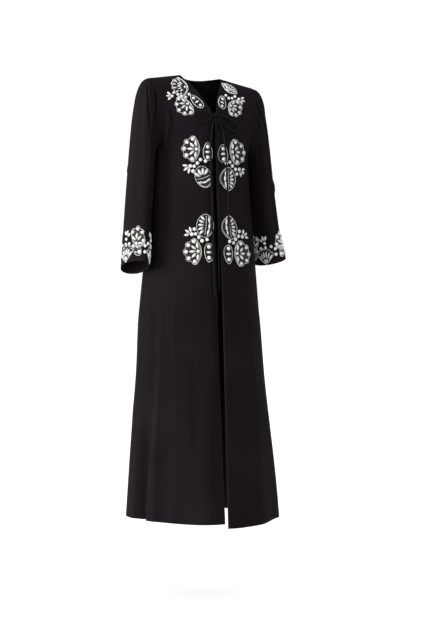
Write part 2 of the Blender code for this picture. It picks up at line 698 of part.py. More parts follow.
def front_frames(panel, plan, side):
    """Frames on a front: out from the front edge, up, and straight off the cloth."""
    tree = BVHTree.FromObject(panel, bpy.context.evaluated_depsgraph_get())
    start = Vector((side * plan.x, -1.0, plan.z - LEAN * side * plan.x))
    centre, normal, _, _ = tree.ray_cast(start, Vector((0, 1, 0)))
    up = (Vector((0, 0, 1)) - normal * normal.z).normalized()
    out = up.cross(normal) * side

    def frame_at(across, height):
        start = centre + out * across + up * height + normal * RAY
        place, facing, _, _ = tree.ray_cast(start, -normal)
        if place is None:
            raise ValueError(f"a bead hangs off the cloth at {start}")
        return frame(place, out, facing)
    return frame_at


def cuff_frames(cloth, side):
    """Frames on a sleeve: out round it from the front towards its outer side, up from its hem."""
    tree = BVHTree.FromBMesh(cloth)

    def frame_at(across, height):
        turn = CUFF_START[side] - across / (CUFF_REPEATS * CUFF_ROUND)
        down = 1 - height / CUFF_LONG
        place, ahead = sleeve_point(turn, down, side), sleeve_point(turn - 1e-3, down, side)
        out = (ahead - place).normalized()
        above = sleeve_point(turn, down - 1e-3, side) - place
        facing = out.cross(above).normalized() * side
        hit, normal, _, _ = tree.ray_cast(place + facing * RAY / 10, -facing)
        if hit is None:
            raise ValueError(f"a bead hangs off the cuff at {place}")
        return frame(hit, out, normal if normal.dot(facing) > 0 else -normal)
    return frame_at


def cuff(side, group, cutters):
    cloth = sleeve_cloth(side)
    heaps = Heaps(cuff_frames(cloth, side), side, CUFF_BEADS)
    for repeat in range(CUFF_REPEATS):
        lay_motifs(heaps, CUFF_MOTIFS, 1, repeat * CUFF_ROUND)
        lay_chains(heaps, CUFF_CHAINS, 1, repeat * CUFF_ROUND)
    beadwork(f"beads_cuff_{SIDE_NAMES[side]}", cloth, heaps, group, cutters)


def applique(name, plan, side, panel, group, cutters):
    heaps = Heaps(front_frames(panel, plan, side), side, plan.beads)
    heaps.wider = WIDER[side]
    pattern = plan.right if side == RIGHT else plan.left
    lay_motifs(heaps, pattern.motifs, plan.flip)
    lay_chains(heaps, pattern.chains, plan.flip)
    cloth = body_piece(FRONT_CELLS, -1, side)
    beadwork(f"beads_{name}_{SIDE_NAMES[side]}", cloth, heaps, group, cutters)


# ---- the tie ---------------------------------------------------------------------------------
def knot(group):
    bm = bmesh.new()
    bmesh.ops.create_cube(bm, size=1.0, matrix=Matrix.LocRotScale(KNOT_AT, None, KNOT))
    bmesh.ops.bevel(
        bm, geom=bm.edges, offset=KNOT_ROUND, segments=2, profile=0.5, affect="EDGES", material=-1,
    )
    add_object("tie_knot", bm, "tie_cord", group)


def route_points(routes, panels):
    """A cord's points, evenly spaced along one smooth curve over the fronts."""
    trees = {
        side: BVHTree.FromObject(panel, bpy.context.evaluated_depsgraph_get())
        for side, panel in panels.items()
    }

    def place(at):
        row = smooth_row(routes, at)
        side = RIGHT if row.x < 0 else LEFT
        start = Vector((side * max(abs(row.x), NEAR_EDGE), -1.0, row.z))
        hit = trees[side].ray_cast(start, Vector((0, 1, 0)))[0]
        return Vector((row.x, hit.y - row.lift, row.z))
    fine = [place(step / ROUTE_STEPS) for step in range(ROUTE_STEPS * (len(routes) - 1) + 1)]
    far = [0.0]
    for one, two in zip(fine, fine[1:]):
        far.append(far[-1] + (two - one).length)
    count = round(far[-1] / (CORD_STEP * CORD))
    wanted = [far[-1] * step / count for step in range(count + 1)]
    return [fine[min(range(len(far)), key=lambda i: abs(far[i] - length))] for length in wanted]


def cord(name, points, group):
    curve = bpy.data.curves.new(name, "CURVE")
    curve.dimensions = "3D"
    curve.bevel_depth = CORD / 2
    curve.bevel_resolution = 2
    curve.use_fill_caps = True
    spline = curve.splines.new("POLY")
    spline.points.add(len(points) - 1)
    for point, place in zip(spline.points, points):
        point.co = (*place, 1.0)
    curve.materials.append(material("tie_cord"))
    group.objects.link(bpy.data.objects.new(name, curve))


def tie(panels, group):
    knot(group)
    for kind, table in (("loop", LOOPS), ("end", ENDS)):
        for name, routes in table.items():
            cord(f"tie_{kind}_{name}", route_points(routes, panels), group)


def main():
    clear_scene()
    group, cutters = collection("abaya"), collection("cutters")
    panels = {side: front(side, group) for side in (RIGHT, LEFT)}
    bpy.context.view_layer.update()
    for side, panel in panels.items():
        for name, plan in APPLIQUES.items():
            applique(name, plan, side, panel, group, cutters)
        sleeve(side, group)
        cuff(side, group, cutters)
    back(group)
    tie(panels, group)


main()
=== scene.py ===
"""A long black crepe abaya with pearl beadwork, worn open over a cord bow, in a plain studio.

Metres, +Z up, +X towards the wearer's left, -Y the wearer's front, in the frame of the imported
model. Each piece of cloth is a thin shell on the form of its solid, beads are sewn to its face,
and everything is built from the tables at the top.
"""
import math
import random
from collections import namedtuple

import bmesh
import bpy
from mathutils import Matrix, Vector
from mathutils.bvhtree import BVHTree

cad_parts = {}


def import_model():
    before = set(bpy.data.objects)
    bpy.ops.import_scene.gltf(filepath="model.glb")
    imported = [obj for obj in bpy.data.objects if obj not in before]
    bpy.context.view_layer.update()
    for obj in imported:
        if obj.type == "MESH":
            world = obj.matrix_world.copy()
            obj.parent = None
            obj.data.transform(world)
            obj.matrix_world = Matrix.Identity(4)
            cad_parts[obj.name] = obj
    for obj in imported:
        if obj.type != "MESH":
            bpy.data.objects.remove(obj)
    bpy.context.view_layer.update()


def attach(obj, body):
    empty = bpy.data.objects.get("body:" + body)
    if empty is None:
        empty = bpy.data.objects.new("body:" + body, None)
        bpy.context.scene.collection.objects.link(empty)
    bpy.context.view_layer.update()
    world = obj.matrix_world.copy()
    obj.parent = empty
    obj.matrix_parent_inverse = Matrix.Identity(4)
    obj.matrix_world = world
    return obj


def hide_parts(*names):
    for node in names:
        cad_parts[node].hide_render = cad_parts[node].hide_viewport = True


# ---- driving sizes ---------------------------------------------------------------------------
HEM_DROP = 1.36         # neck point to hem
LEAN = 0.036            # the right shoulder, cuff and hem hang this much higher per metre across
RIGHT, LEFT = -1, 1
SIDE_NAMES = {RIGHT: "right", LEFT: "left"}

# The flat cut of each piece of cloth: its width, its length and its area.
Cut = namedtuple("Cut", "wide long area")
CUTS = {
    "front": Cut(0.33, 1.40, 0.36),
    "back": Cut(0.72, 1.40, 0.74),
    "sleeve": Cut(0.44, 0.66, 0.19),
}

# The cloth as drawn: cells across or round a piece and down it. PANEL is a front or half the back.
PANEL_CELLS = (56, 150)
SLEEVE_CELLS = (120, 100)
ROWS_EVEN, ROWS_CROWDED, CROWDING = 0.45, 0.55, 1.25    # the rows crowd towards the shoulder
SHELL = 0.0009          # thickness of the cloth as seen at its edges
SEAM_DEPTH = 0.0010     # cloth dips this far into a seam
SEAM_WIDTH = 0.0050
SEAM_CELL = 0.0040      # width of a cell beside a seam

# Places on the flat cloth, for its topstitching and wear.
PANEL_TOP, PANEL_FLARE = 0.17, 0.11     # width of a panel at the shoulder, and its gain by the hem
FAR_FROM_EDGE = 0.5     # the back has no edge down its middle
SLEEVE_ROUND, SLEEVE_LONG = 0.40, 0.60      # round a sleeve, and down it

# ---- the body of the garment -----------------------------------------------------------------
# Seven rows from the shoulder seam to the underarm. The edge columns run down the V neckline and
# the top of the front edge, the mid columns round the back neck and down the centre back, and round
# says how far the row bulges from a straight line (0) to a quarter ellipse (1).
Upper = namedtuple("Upper", "edge_x edge_y edge_z mid_x mid_y mid_z round")
UPPER = (
    Upper(0.0680, -0.0006, 0.000, 0.0680, 0.0006, 0.000, 0.00),
    Upper(0.0580, -0.0260, -0.020, 0.0480, 0.0350, -0.002, 0.12),
    Upper(0.0420, -0.0500, -0.045, 0.0000, 0.0500, -0.006, 0.28),
    Upper(0.0250, -0.0720, -0.076, 0.0000, 0.0740, -0.046, 0.42),
    Upper(0.0084, -0.1000, -0.120, 0.0000, 0.0920, -0.100, 0.58),
    Upper(0.0080, -0.1080, -0.180, 0.0000, 0.1060, -0.170, 0.78),
    Upper(0.0078, -0.1110, -0.242, 0.0000, 0.1140, -0.242, 1.00),
)
UNDERARM = len(UPPER) - 1
NAPE = 2                # the row whose inner end is the middle of the back neck

# Below the underarm every row is level. gap is the distance of each front edge from the middle.
Lower = namedtuple("Lower", "z side_x gap front_y back_y")
LOWER = (
    Lower(-0.242, 0.155, 0.0078, -0.111, 0.114),
    Lower(-0.385, 0.163, 0.0075, -0.120, 0.118),
    Lower(-0.540, 0.176, 0.0070, -0.134, 0.136),
    Lower(-0.690, 0.189, 0.0060, -0.147, 0.156),
    Lower(-0.780, 0.196, 0.0056, -0.153, 0.165),
    Lower(-0.920, 0.203, 0.0054, -0.162, 0.168),
    Lower(-1.060, 0.216, 0.0053, -0.170, 0.173),
    Lower(-1.200, 0.229, 0.0046, -0.179, 0.182),
    Lower(-HEM_DROP, 0.241, 0.0042, -0.191, 0.193),
)

# ---- the armhole and the sleeves -------------------------------------------------------------
# A ring is a tilted oval from its outer point to its inner one. Ring 0 is the armhole itself.
Ring = namedtuple("Ring", "out_x out_z in_x in_z y half_y hollow tilt")
SLEEVE_HEAD = (
    Ring(0.176, -0.020, 0.155, -0.242, 0.000, 0.062, 0.012, 0.000),
    Ring(0.192, -0.030, 0.1590, -0.254, 0.000, 0.066, 0.007, 0.000),
    Ring(0.204, -0.056, 0.1605, -0.270, 0.000, 0.070, 0.002, 0.000),
    Ring(0.214, -0.115, 0.1625, -0.296, 0.000, 0.075, 0.000, 0.000),
    Ring(0.223, -0.200, 0.1650, -0.332, -0.002, 0.079, 0.000, 0.000),
    Ring(0.232, -0.300, 0.1700, -0.385, -0.005, 0.081, 0.000, 0.000),
    Ring(0.242, -0.400, 0.1780, -0.440, -0.010, 0.081, 0.000, 0.004),
)
SLEEVES = {
    RIGHT: SLEEVE_HEAD + (
        Ring(0.2520, -0.500, 0.186, -0.516, -0.014, 0.078, 0.000, 0.009),
        Ring(0.2600, -0.591, 0.192, -0.610, -0.016, 0.077, 0.000, 0.016),
    ),
    LEFT: SLEEVE_HEAD + (
        Ring(0.2550, -0.480, 0.186, -0.496, -0.014, 0.078, 0.000, 0.000),
        Ring(0.2740, -0.545, 0.196, -0.577, -0.018, 0.078, 0.000, -0.003),
    ),
}

# ---- folds -----------------------------------------------------------------------------------
# Folds of the body. turn counts round it: 0 the right front edge, 1 the right side seam, 2 the
# centre back, 3 the left side seam, 4 the left front edge. A fold starts at the height top, is
# deepest at the height full, and lift is out of the cloth (a ridge) or, below 0, a trough.
Fold = namedtuple("Fold", "turn_top turn_low width top full lift")
FOLDS = (
    Fold(0.61, 0.64, 0.15, -0.72, -1.32, 0.016),    # long ridge on the right front
    Fold(0.78, 0.81, 0.14, -0.82, -1.35, -0.036),   # trough behind it, short of the side seam
    Fold(0.36, 0.34, 0.14, -0.95, -1.36, -0.006),
    Fold(0.14, 0.14, 0.10, -0.70, -1.30, 0.004),
    Fold(1.62, 1.58, 0.14, -0.78, -1.34, -0.016),
    Fold(1.92, 1.84, 0.16, -0.66, -1.36, 0.013),
    Fold(2.14, 2.14, 0.14, -0.84, -1.36, -0.016),
    Fold(2.38, 2.44, 0.16, -0.62, -1.36, 0.014),
    Fold(2.68, 2.70, 0.14, -0.74, -1.32, -0.014),
    Fold(3.24, 3.22, 0.16, -0.96, -1.36, 0.006),
    Fold(3.46, 3.44, 0.14, -0.92, -1.36, -0.004),
    Fold(3.70, 3.66, 0.14, -0.80, -1.36, 0.006),
    Fold(3.88, 3.90, 0.09, -0.13, -0.30, 0.004),    # the left front rolls towards its edge
)
FOLD_FADE = 0.10        # a fold that ends above the hem dies away over this height

# Where the hem hangs lower than level. The cloth starts to drop at the height DIP_FROM.
Dip = namedtuple("Dip", "turn width drop")
DIPS = (
    Dip(4.00, 0.75, 0.0165),    # the left front's corner
    Dip(0.22, 0.50, 0.0050),
)
DIP_FROM = -0.80

# Folds of a sleeve. turn counts round it from 0 (outer line) through 0.25 (front), 0.5 (inner line)
# and 0.75 (back). Each fold runs from one place down the sleeve to another, 0 at its head and 1 at
# the cuff. Here a lift above 0 is a trough and one below 0 a ridge.
Crease = namedtuple("Crease", "turn_from down_from turn_to down_to width lift")
CREASES = {
    RIGHT: (
        Crease(0.06, 0.05, 0.20, 0.34, 0.040, -0.006),
        Crease(0.14, 0.04, 0.30, 0.26, 0.035, 0.005),
        Crease(0.93, 0.06, 0.82, 0.32, 0.040, -0.006),
        Crease(0.36, 0.50, 0.18, 0.60, 0.040, -0.005),
        Crease(0.40, 0.62, 0.24, 0.72, 0.035, -0.004),
        Crease(0.70, 0.48, 0.86, 0.62, 0.045, -0.005),
        Crease(0.12, 0.10, 0.16, 0.84, 0.050, -0.004),      # its front stands forward,
        Crease(0.31, 0.02, 0.33, 0.90, 0.150, 0.015),       # and the cloth falls in behind
        Crease(0.105, 0.02, 0.260, 0.20, 0.020, 0.008),     # drag lines from the shoulder
        Crease(0.055, 0.08, 0.200, 0.42, 0.024, 0.009),
        Crease(0.150, 0.02, 0.225, 0.18, 0.016, 0.006),
    ),
    LEFT: (
        Crease(0.04, 0.05, 0.16, 0.30, 0.035, -0.005),
        Crease(0.12, 0.04, 0.26, 0.22, 0.035, 0.005),
        Crease(0.95, 0.05, 0.80, 0.36, 0.040, -0.006),
        Crease(0.38, 0.46, 0.20, 0.58, 0.040, -0.005),
        Crease(0.10, 0.62, 0.30, 0.70, 0.045, -0.005),
        Crease(0.66, 0.55, 0.84, 0.66, 0.045, -0.005),
        Crease(0.215, 0.00, 0.250, 0.26, 0.020, 0.0070),    # drag lines from the shoulder
        Crease(0.160, 0.02, 0.195, 0.34, 0.022, 0.0065),
        Crease(0.300, 0.01, 0.275, 0.24, 0.020, 0.0060),
        Crease(0.345, 0.05, 0.320, 0.60, 0.040, 0.0040),
    ),
}

# Soft creases of the body that its solids leave out. Each runs from one turn and height to another.
Wrinkle = namedtuple("Wrinkle", "turn_from high turn_to low width lift")
WRINKLES = (
    Wrinkle(0.82, -0.10, 0.72, -0.66, 0.120, 0.0120),       # the right front turns back at its side
    Wrinkle(0.00, -0.11, 0.00, -0.66, 0.085, -0.0050),      # the fronts' edges roll inward
    Wrinkle(0.00, -0.46, 0.00, -1.06, 0.085, -0.0090),
    Wrinkle(0.00, -0.72, 0.00, -1.44, 0.070, -0.0050),
    Wrinkle(4.00, -0.11, 4.00, -0.66, 0.070, -0.0040),
    Wrinkle(0.640, -0.66, 0.605, -1.56, 0.028, 0.0050),     # the sharp top of the long ridge
    Wrinkle(0.730, -0.68, 0.735, -1.20, 0.070, -0.0050),
    Wrinkle(3.22, -0.72, 3.22, -1.95, 0.700, 0.0090),       # the skirt stands out at its left
    Wrinkle(1.22, -1.05, 1.22, -1.75, 0.600, -0.0050),      # and falls in at its right
    Wrinkle(0.86, -0.06, 0.60, -0.20, 0.050, -0.0022),
    Wrinkle(0.92, -0.12, 0.66, -0.26, 0.045, 0.0020),
    Wrinkle(0.95, -0.22, 0.72, -0.36, 0.060, -0.0024),
    Wrinkle(0.64, -0.30, 0.50, -0.50, 0.060, 0.0016),
    Wrinkle(3.16, -0.08, 3.42, -0.20, 0.050, -0.0022),
    Wrinkle(3.10, -0.14, 3.36, -0.28, 0.045, 0.0018),
    Wrinkle(3.06, -0.24, 3.30, -0.40, 0.060, -0.0022),
    Wrinkle(1.22, -0.10, 1.62, -0.16, 0.060, -0.0022),
    Wrinkle(1.14, -0.18, 1.48, -0.30, 0.060, -0.0026),
    Wrinkle(1.10, -0.26, 1.38, -0.44, 0.070, 0.0022),
    Wrinkle(2.78, -0.10, 2.40, -0.17, 0.060, -0.0022),
    Wrinkle(2.86, -0.18, 2.54, -0.32, 0.060, -0.0026),
    Wrinkle(2.92, -0.28, 2.66, -0.46, 0.070, 0.0022),
    Wrinkle(1.96, -0.34, 2.02, -0.70, 0.080, -0.0024),
    Wrinkle(0.50, -0.62, 0.46, -1.10, 0.060, 0.0022),
    Wrinkle(0.28, -0.80, 0.24, -1.34, 0.060, -0.0020),
    Wrinkle(0.72, -0.50, 0.76, -0.86, 0.070, -0.0024),
    Wrinkle(3.60, -0.66, 3.58, -1.20, 0.060, 0.0020),
    Wrinkle(3.40, -0.56, 3.34, -0.98, 0.060, -0.0022),
    Wrinkle(3.80, -0.90, 3.82, -1.34, 0.050, -0.0018),
)

# ---- the tie ---------------------------------------------------------------------------------
CORD = 0.005            # rouleau cord
LOOP_STEP, END_STEP = 1.0, 3.0      # from one point of a cord to the next, in diameters
ROUTE_STEPS = 40        # steps between two rows of a route
NEAR_EDGE = 0.0115      # a cord over the front opening lies as high as on the cloth this far out
KNOT_AT = Vector((0.0, -0.1078, -0.1290))
KNOT_CORE = (0.0085, 0.0050, 0.0058)
KNOT_CORD, KNOT_RING = 0.0023, 0.0050       # radius of the cord in a wrap, and of the wrap
KNOT_FLAT = 0.66        # the knot is pressed to this share of its depth
Wrap = namedtuple("Wrap", "offset tilt")
WRAPS = (Wrap(-0.0045, 0.10), Wrap(0.0, -0.25), Wrap(0.0045, 0.05))

# Routes of the cords, seen from the front; lift is the cord's middle above the cloth under it.
Route = namedtuple("Route", "x z lift")
LOOPS = {
    "right": (
        Route(-0.0106, -0.1262, 0.0062), Route(-0.0280, -0.1195, 0.0085), Route(-0.0470, -0.1190, 0.0115),
        Route(-0.0620, -0.1255, 0.0115), Route(-0.0680, -0.1365, 0.0115), Route(-0.0610, -0.1470, 0.0110),
        Route(-0.0430, -0.1515, 0.0085), Route(-0.0230, -0.1455, 0.0068), Route(-0.0113, -0.1327, 0.0062),
    ),
    "left": (
        Route(0.0106, -0.1262, 0.0062), Route(0.0270, -0.1300, 0.0080), Route(0.0460, -0.1360, 0.0100),
        Route(0.0660, -0.1430, 0.0110), Route(0.0800, -0.1530, 0.0100), Route(0.0815, -0.1660, 0.0085),
        Route(0.0690, -0.1740, 0.0080), Route(0.0470, -0.1690, 0.0080), Route(0.0250, -0.1530, 0.0075),
        Route(0.0115, -0.1327, 0.0062),
    ),
}
ENDS = {
    "right": (
        Route(-0.0057, -0.1374, 0.0062), Route(-0.0110, -0.170, 0.0070), Route(-0.0200, -0.215, 0.0110),
        Route(-0.0215, -0.300, 0.0115), Route(-0.0220, -0.385, 0.0110), Route(-0.0230, -0.470, 0.0115),
        Route(-0.0235, -0.560, 0.0115), Route(-0.0210, -0.630, 0.0075), Route(-0.0190, -0.682, 0.0060),
    ),
    "middle": (
        Route(0.0, -0.1370, 0.0062), Route(0.0010, -0.180, 0.0050), Route(0.0018, -0.260, 0.0046),
        Route(0.0022, -0.350, 0.0044), Route(0.0020, -0.450, 0.0044), Route(-0.0004, -0.560, 0.0044),
        Route(-0.0015, -0.664, 0.0044),
    ),
    "left": (
        Route(0.0057, -0.1378, 0.0062), Route(0.0170, -0.156, 0.0066), Route(0.0245, -0.184, 0.0076),
        Route(0.0275, -0.225, 0.0112), Route(0.0290, -0.275, 0.0115), Route(0.0300, -0.340, 0.0115),
        Route(0.0310, -0.415, 0.0110), Route(0.0310, -0.500, 0.0115),
    ),
}

# ---- the beads -------------------------------------------------------------------------------
PEARL = (0.0064, 0.0060)            # radius, height of a half-round pearl
PETAL = (0.0098, 0.0044, 0.0050)    # half length, half width, height of a pointed bead
RIB = (0.0096, 0.0040, 0.0046)      # a slimmer one, across the shells
PLUME = (0.0098, 0.0036, 0.0044)    # a long bead of a plume
SPEAR = (0.0138, 0.0034, 0.0044)    # the longest on the cuffs
SPLINTER = (0.0078, 0.0026, 0.0036) # the slimmest
LONG = (0.0110, 0.0036, 0.0042)     # a long one, down the shells
SHELL_WIDTH = 0.052     # width of a shell whose ribs are of the plain size
SEED = (0.00115, 0.0022)            # radius, height of a small silver bead
SEED_STEP = 0.00235
FOOT = 0.0003           # a bead's foot above the cloth
SCALLOP = 0.0090        # radius of the silver row round a rim pearl
LOOP = 0.0046           # radius of the silver loop round a petal's tip
DOUBLE = 0.0034         # between the two silver rows of a double outline
RAY = 0.1               # how far in front of the cloth a place on it is looked for
# The satin ground under a motif, from its edge to its middle: share of the way out, and height.
PATCH = ((1.06, 0.0001), (1.02, 0.0008), (0.70, 0.0009), (0.35, 0.0009), (0.0, 0.0009))

# Proportions of the motifs, in shares of a fan's reach.
FAN_PETAL, FAN_PETAL_AT, FAN_OPEN = 0.275, 0.47, 1.2    # half length, middle, spread past the rim's
FAN_RIM, FAN_RIM_AHEAD = 0.82, 0.14     # how far the rim pearls lie, and how much more straight ahead
PLUME_RIM, PLUME_RIM_AHEAD = 0.84, 0.12
PLUME_OUTER, PLUME_INNER, PLUME_TIP = 0.80, 0.42, 0.92
BEHIND = 0.62           # how far an outline bulges behind the hub
GROUND_AT = 0.30        # middle of the ground
LEAF_PEARLS = 0.31      # of a leaf's length, from its middle to each pearl
SPRIG_PETALS = 0.80     # of a sprig's length
SPEARS, SPEAR_TIPS, SPLINTERS = 0.63, 0.86, 0.27        # rows of a cuff's half shell
POD_PETALS, POD_MIDDLE = 0.46, 0.26     # of a pod's length
SPINE_ENDS, SPINE_BEND = 0.47, -0.10    # of a shell's length and width
RIBS_ALONG, RIBS_OUT = 0.30, 0.25
LONGS_AT, LONGS_ALONG, LONGS_OUT = (-0.62, 0.0, 0.62), 0.40, -0.23

# Motifs of an applique. out is away from the front edge and up is up, both from the middle of the
# applique; aim is in degrees from straight out towards up. A fan or a plume spreads from its hub by
# width in degrees, with a count of petals, and so does a sprig; a leaf, a shell and a pod are ovals.
Motif = namedtuple("Motif", "kind out up aim length width count", defaults=(0, 0, 0, 1))
BLOSSOM = (
    Motif("fan", -0.0010, 0.0380, 2, 0.0375, 138, 5),
    Motif("leaf", -0.0365, 0.0300, 90, 0.052, 0.029, 1),
    Motif("shell", -0.0220, -0.0460, 87, 0.071, 0.054, 5),
    Motif("sprig", 0.0175, -0.0138, -34, 0.0190, 80, 3),
    Motif("pearl", -0.0290, 0.0020),
    Motif("pearl", -0.0135, 0.0060),
    Motif("pearl", -0.0040, -0.0050),
    Motif("pearl", 0.0060, -0.0147),
    Motif("pearl", 0.0095, -0.0293),
)
# The same with its shell turned, its spine sloping down and out.
BLOSSOM_TURNED = tuple(
    Motif("shell", -0.0215, -0.0465, 160, 0.050, 0.067, 4) if motif.kind == "shell" else motif
    for motif in BLOSSOM
)
# The same with its leaf further out and its shell nearer, for the waist.
MOVED = {
    "leaf": Motif("leaf", -0.0345, 0.0405, 90, 0.054, 0.028, 1),
    "shell": Motif("shell", -0.0235, -0.0400, 84, 0.071, 0.053, 5),
}
BLOSSOM_LOW = tuple(MOVED.get(motif.kind, motif) for motif in BLOSSOM)
COLLAR_RIGHT = (
    Motif("plume", -0.0120, 0.0360, 3, 0.045, 122, 6),
    Motif("leaf", -0.0425, -0.0170, 56, 0.051, 0.026, 1),
    Motif("fan", -0.0120, -0.0240, -36, 0.035, 134, 5),
    Motif("sprig", 0.0345, 0.0005, 0, 0.0150, 84, 3),
    Motif("pearl", 0.0275, 0.0125),
    Motif("pearl", 0.0150, 0.0070),
    Motif("pearl", 0.0035, 0.0020),
    Motif("pearl", -0.0090, -0.0010),
    Motif("pearl", -0.0210, 0.0095),
)
COLLAR_LEFT = (
    Motif("plume", -0.0100, 0.0410, 38, 0.0300, 98, 6),
    Motif("leaf", -0.0470, -0.0085, 68, 0.048, 0.027, 1),
    Motif("fan", -0.0150, -0.0155, -38, 0.034, 128, 5),
    Motif("sprig", 0.0185, 0.0100, -24, 0.0170, 84, 3),
    Motif("pearl", -0.0235, 0.0200),
    Motif("pearl", -0.0155, 0.0105),
    Motif("pearl", -0.0030, 0.0115),
    Motif("pearl", 0.0085, 0.0180),
)
# Where each applique lies: its middle on the front, flip -1 where it is turned upside down, the size
# of its beads, and how much wider it is laid past its middle on the left front, which turns away.
Applique = namedtuple("Applique", "right left x z flip beads wider")
APPLIQUES = {
    "chest": Applique(COLLAR_RIGHT, COLLAR_LEFT, 0.0860, -0.0760, 1, 0.78, 1.15),
    "bust": Applique(BLOSSOM_TURNED, BLOSSOM, 0.0620, -0.2745, 1, 0.96, 1.45),
    "waist": Applique(BLOSSOM_LOW, BLOSSOM_LOW, 0.0650, -0.5090, -1, 0.96, 1.45),
}
# One repeat of the band round a cuff; here out runs round the sleeve and up starts at its hem.
CUFF_REPEATS = 3
CUFF_START = {RIGHT: 0.345, LEFT: 0.400}    # turn of the first repeat on each sleeve
CUFF_ROUND = 0.1307     # width of a repeat
CUFF_BEADS = 0.86       # size of its beads
CUFF_MOTIFS = (
    Motif("half_shell", -0.0040, 0.0050, 90, 0.046, 88, 6),
    Motif("fan", 0.0820, 0.0490, 112, 0.0355, 112, 4),
    Motif("sprig", 0.0000, 0.0620, 108, 0.0190, 78, 3),
    Motif("pod", 0.0660, 0.0290, 20, 0.034, 0.024, 1),
    Motif("pearl", 0.0010, 0.0510),
    Motif("pearl", 0.0240, 0.0520),
    Motif("pearl", 0.0400, 0.0450),
    Motif("pearl", 0.0390, 0.0310),
    Motif("pearl", 0.0950, 0.0430),
    Motif("pearl", 0.1130, 0.0500),
)

# ---- looks -----------------------------------------------------------------------------------
CREPE = (0.0066, 0.0050, 0.0061)
CREPE_LIGHT = (0.0090, 0.0069, 0.0085)
CREPE_DEEP = (0.0045, 0.0037, 0.0043)
CREPE_WORN = (0.0190, 0.0160, 0.0190)
CREPE_CORD = (0.0025, 0.0022, 0.0024)
CREPE_CORD_LIGHT = (0.0046, 0.0041, 0.0045)
STITCH, STITCH_SHARE = 0.0034, 0.72     # from one stitch to the next, and the share that is thread
STITCH_WIDTH = 0.00022
EDGE_STITCH, HEM_STITCH = 0.0055, 0.0220    # from the front edge, and from the hem
WORN_WIDTH = 0.006      # wear along the edges
# One kind of bead: its two tones, roughness, metal, coat, and how much it is clouded.
Glaze = namedtuple("Glaze", "name one two roughness metallic coat cloud")
GLAZES = {
    "pearl": Glaze("pearl", (0.58, 0.57, 0.54), (0.46, 0.455, 0.44), 0.22, 0.0, 0.4, 0.3),
    "petal": Glaze("long_pearl", (0.56, 0.55, 0.52), (0.40, 0.40, 0.38), 0.26, 0.0, 0.4, 0.5),
    "seed": Glaze("silver_seed", (0.74, 0.74, 0.72), (0.50, 0.50, 0.49), 0.28, 0.45, 0.0, 0.3),
}
FLOOR = (0.93, 0.93, 0.93)
FLOOR_SHADE = (0.91, 0.91, 0.91)

# ---- the studio ------------------------------------------------------------------------------
AZIMUTH = math.radians(-25)
CAMERA_FAR, CAMERA_UP = 5.0, -0.67
LENS, SENSOR = 92.0, 36.0
SHIFT = (0.0166, -0.0357)
FLOOR_LEVEL, FLOOR_REACH = -1.60, 40.0
SKY = (1.0, 1.0, 1.0)
BACKDROP, AMBIENT = 1.05, 1.08      # the white backdrop as seen, and as it lights the room
KEY_TOWARDS, KEY_SOFT, KEY_STRENGTH = (-0.95, -0.12, 0.28), 30, 4.7


# ---- helpers ---------------------------------------------------------------------------------
def collection(name):
    made = bpy.data.collections.new(name)
    bpy.context.scene.collection.children.link(made)
    return made


def add_object(name, bm, materials, group, smooth=True):
    mesh = bpy.data.meshes.new(name)
    bm.to_mesh(mesh)
    bm.free()
    if smooth:
        mesh.shade_smooth()
    for made in materials:
        mesh.materials.append(made)
    obj = bpy.data.objects.new(name, mesh)
    group.objects.link(obj)
    return obj


def smooth_row(rows, at):
    """A row between two rows of a table, every column on one smooth curve through them."""
    low = max(0, min(int(at), len(rows) - 2))
    part = at - low
    before, after = rows[max(low - 1, 0)], rows[min(low + 2, len(rows) - 1)]
    values = []
    for a, b, c, d in zip(before, rows[low], rows[low + 1], after):
        bend = (2 * a - 5 * b + 4 * c - d) * part ** 2 + (3 * b - a - 3 * c + d) * part ** 3
        values.append(b + 0.5 * ((c - a) * part + bend))
    return type(rows[0])(*values)


def ease(value):
    value = max(0.0, min(1.0, value))
    return value * value * (3 - 2 * value)


def hill(distance, width):
    """1 on the line of a fold, 0 at its width and beyond."""
    return 0.5 + 0.5 * math.cos(math.pi * min(1.0, abs(distance) / width))


def hang(point):
    """The slight lean of the whole garment as it is worn."""
    return Vector((point.x, point.y, point.z - LEAN * point.x))


def normal_at(surface, across, down):
    step = 1e-3
    one = surface(across + step, down) - surface(across - step, down)
    two = surface(across, down + step) - surface(across, down - step)
    return two.cross(one).normalized()


# ---- surfaces --------------------------------------------------------------------------------
def ring_point(ring, turn):
    angle = 2 * math.pi * turn
    middle_x, half_x = (ring.out_x + ring.in_x) / 2, (ring.out_x - ring.in_x) / 2
    middle_z, half_z = (ring.out_z + ring.in_z) / 2, (ring.out_z - ring.in_z) / 2
    return Vector((
        middle_x + half_x * math.cos(angle) - ring.hollow * math.sin(angle) ** 2,
        ring.y - ring.half_y * math.sin(angle),
        middle_z + half_z * math.cos(angle) + ring.tilt * math.sin(angle),
    ))


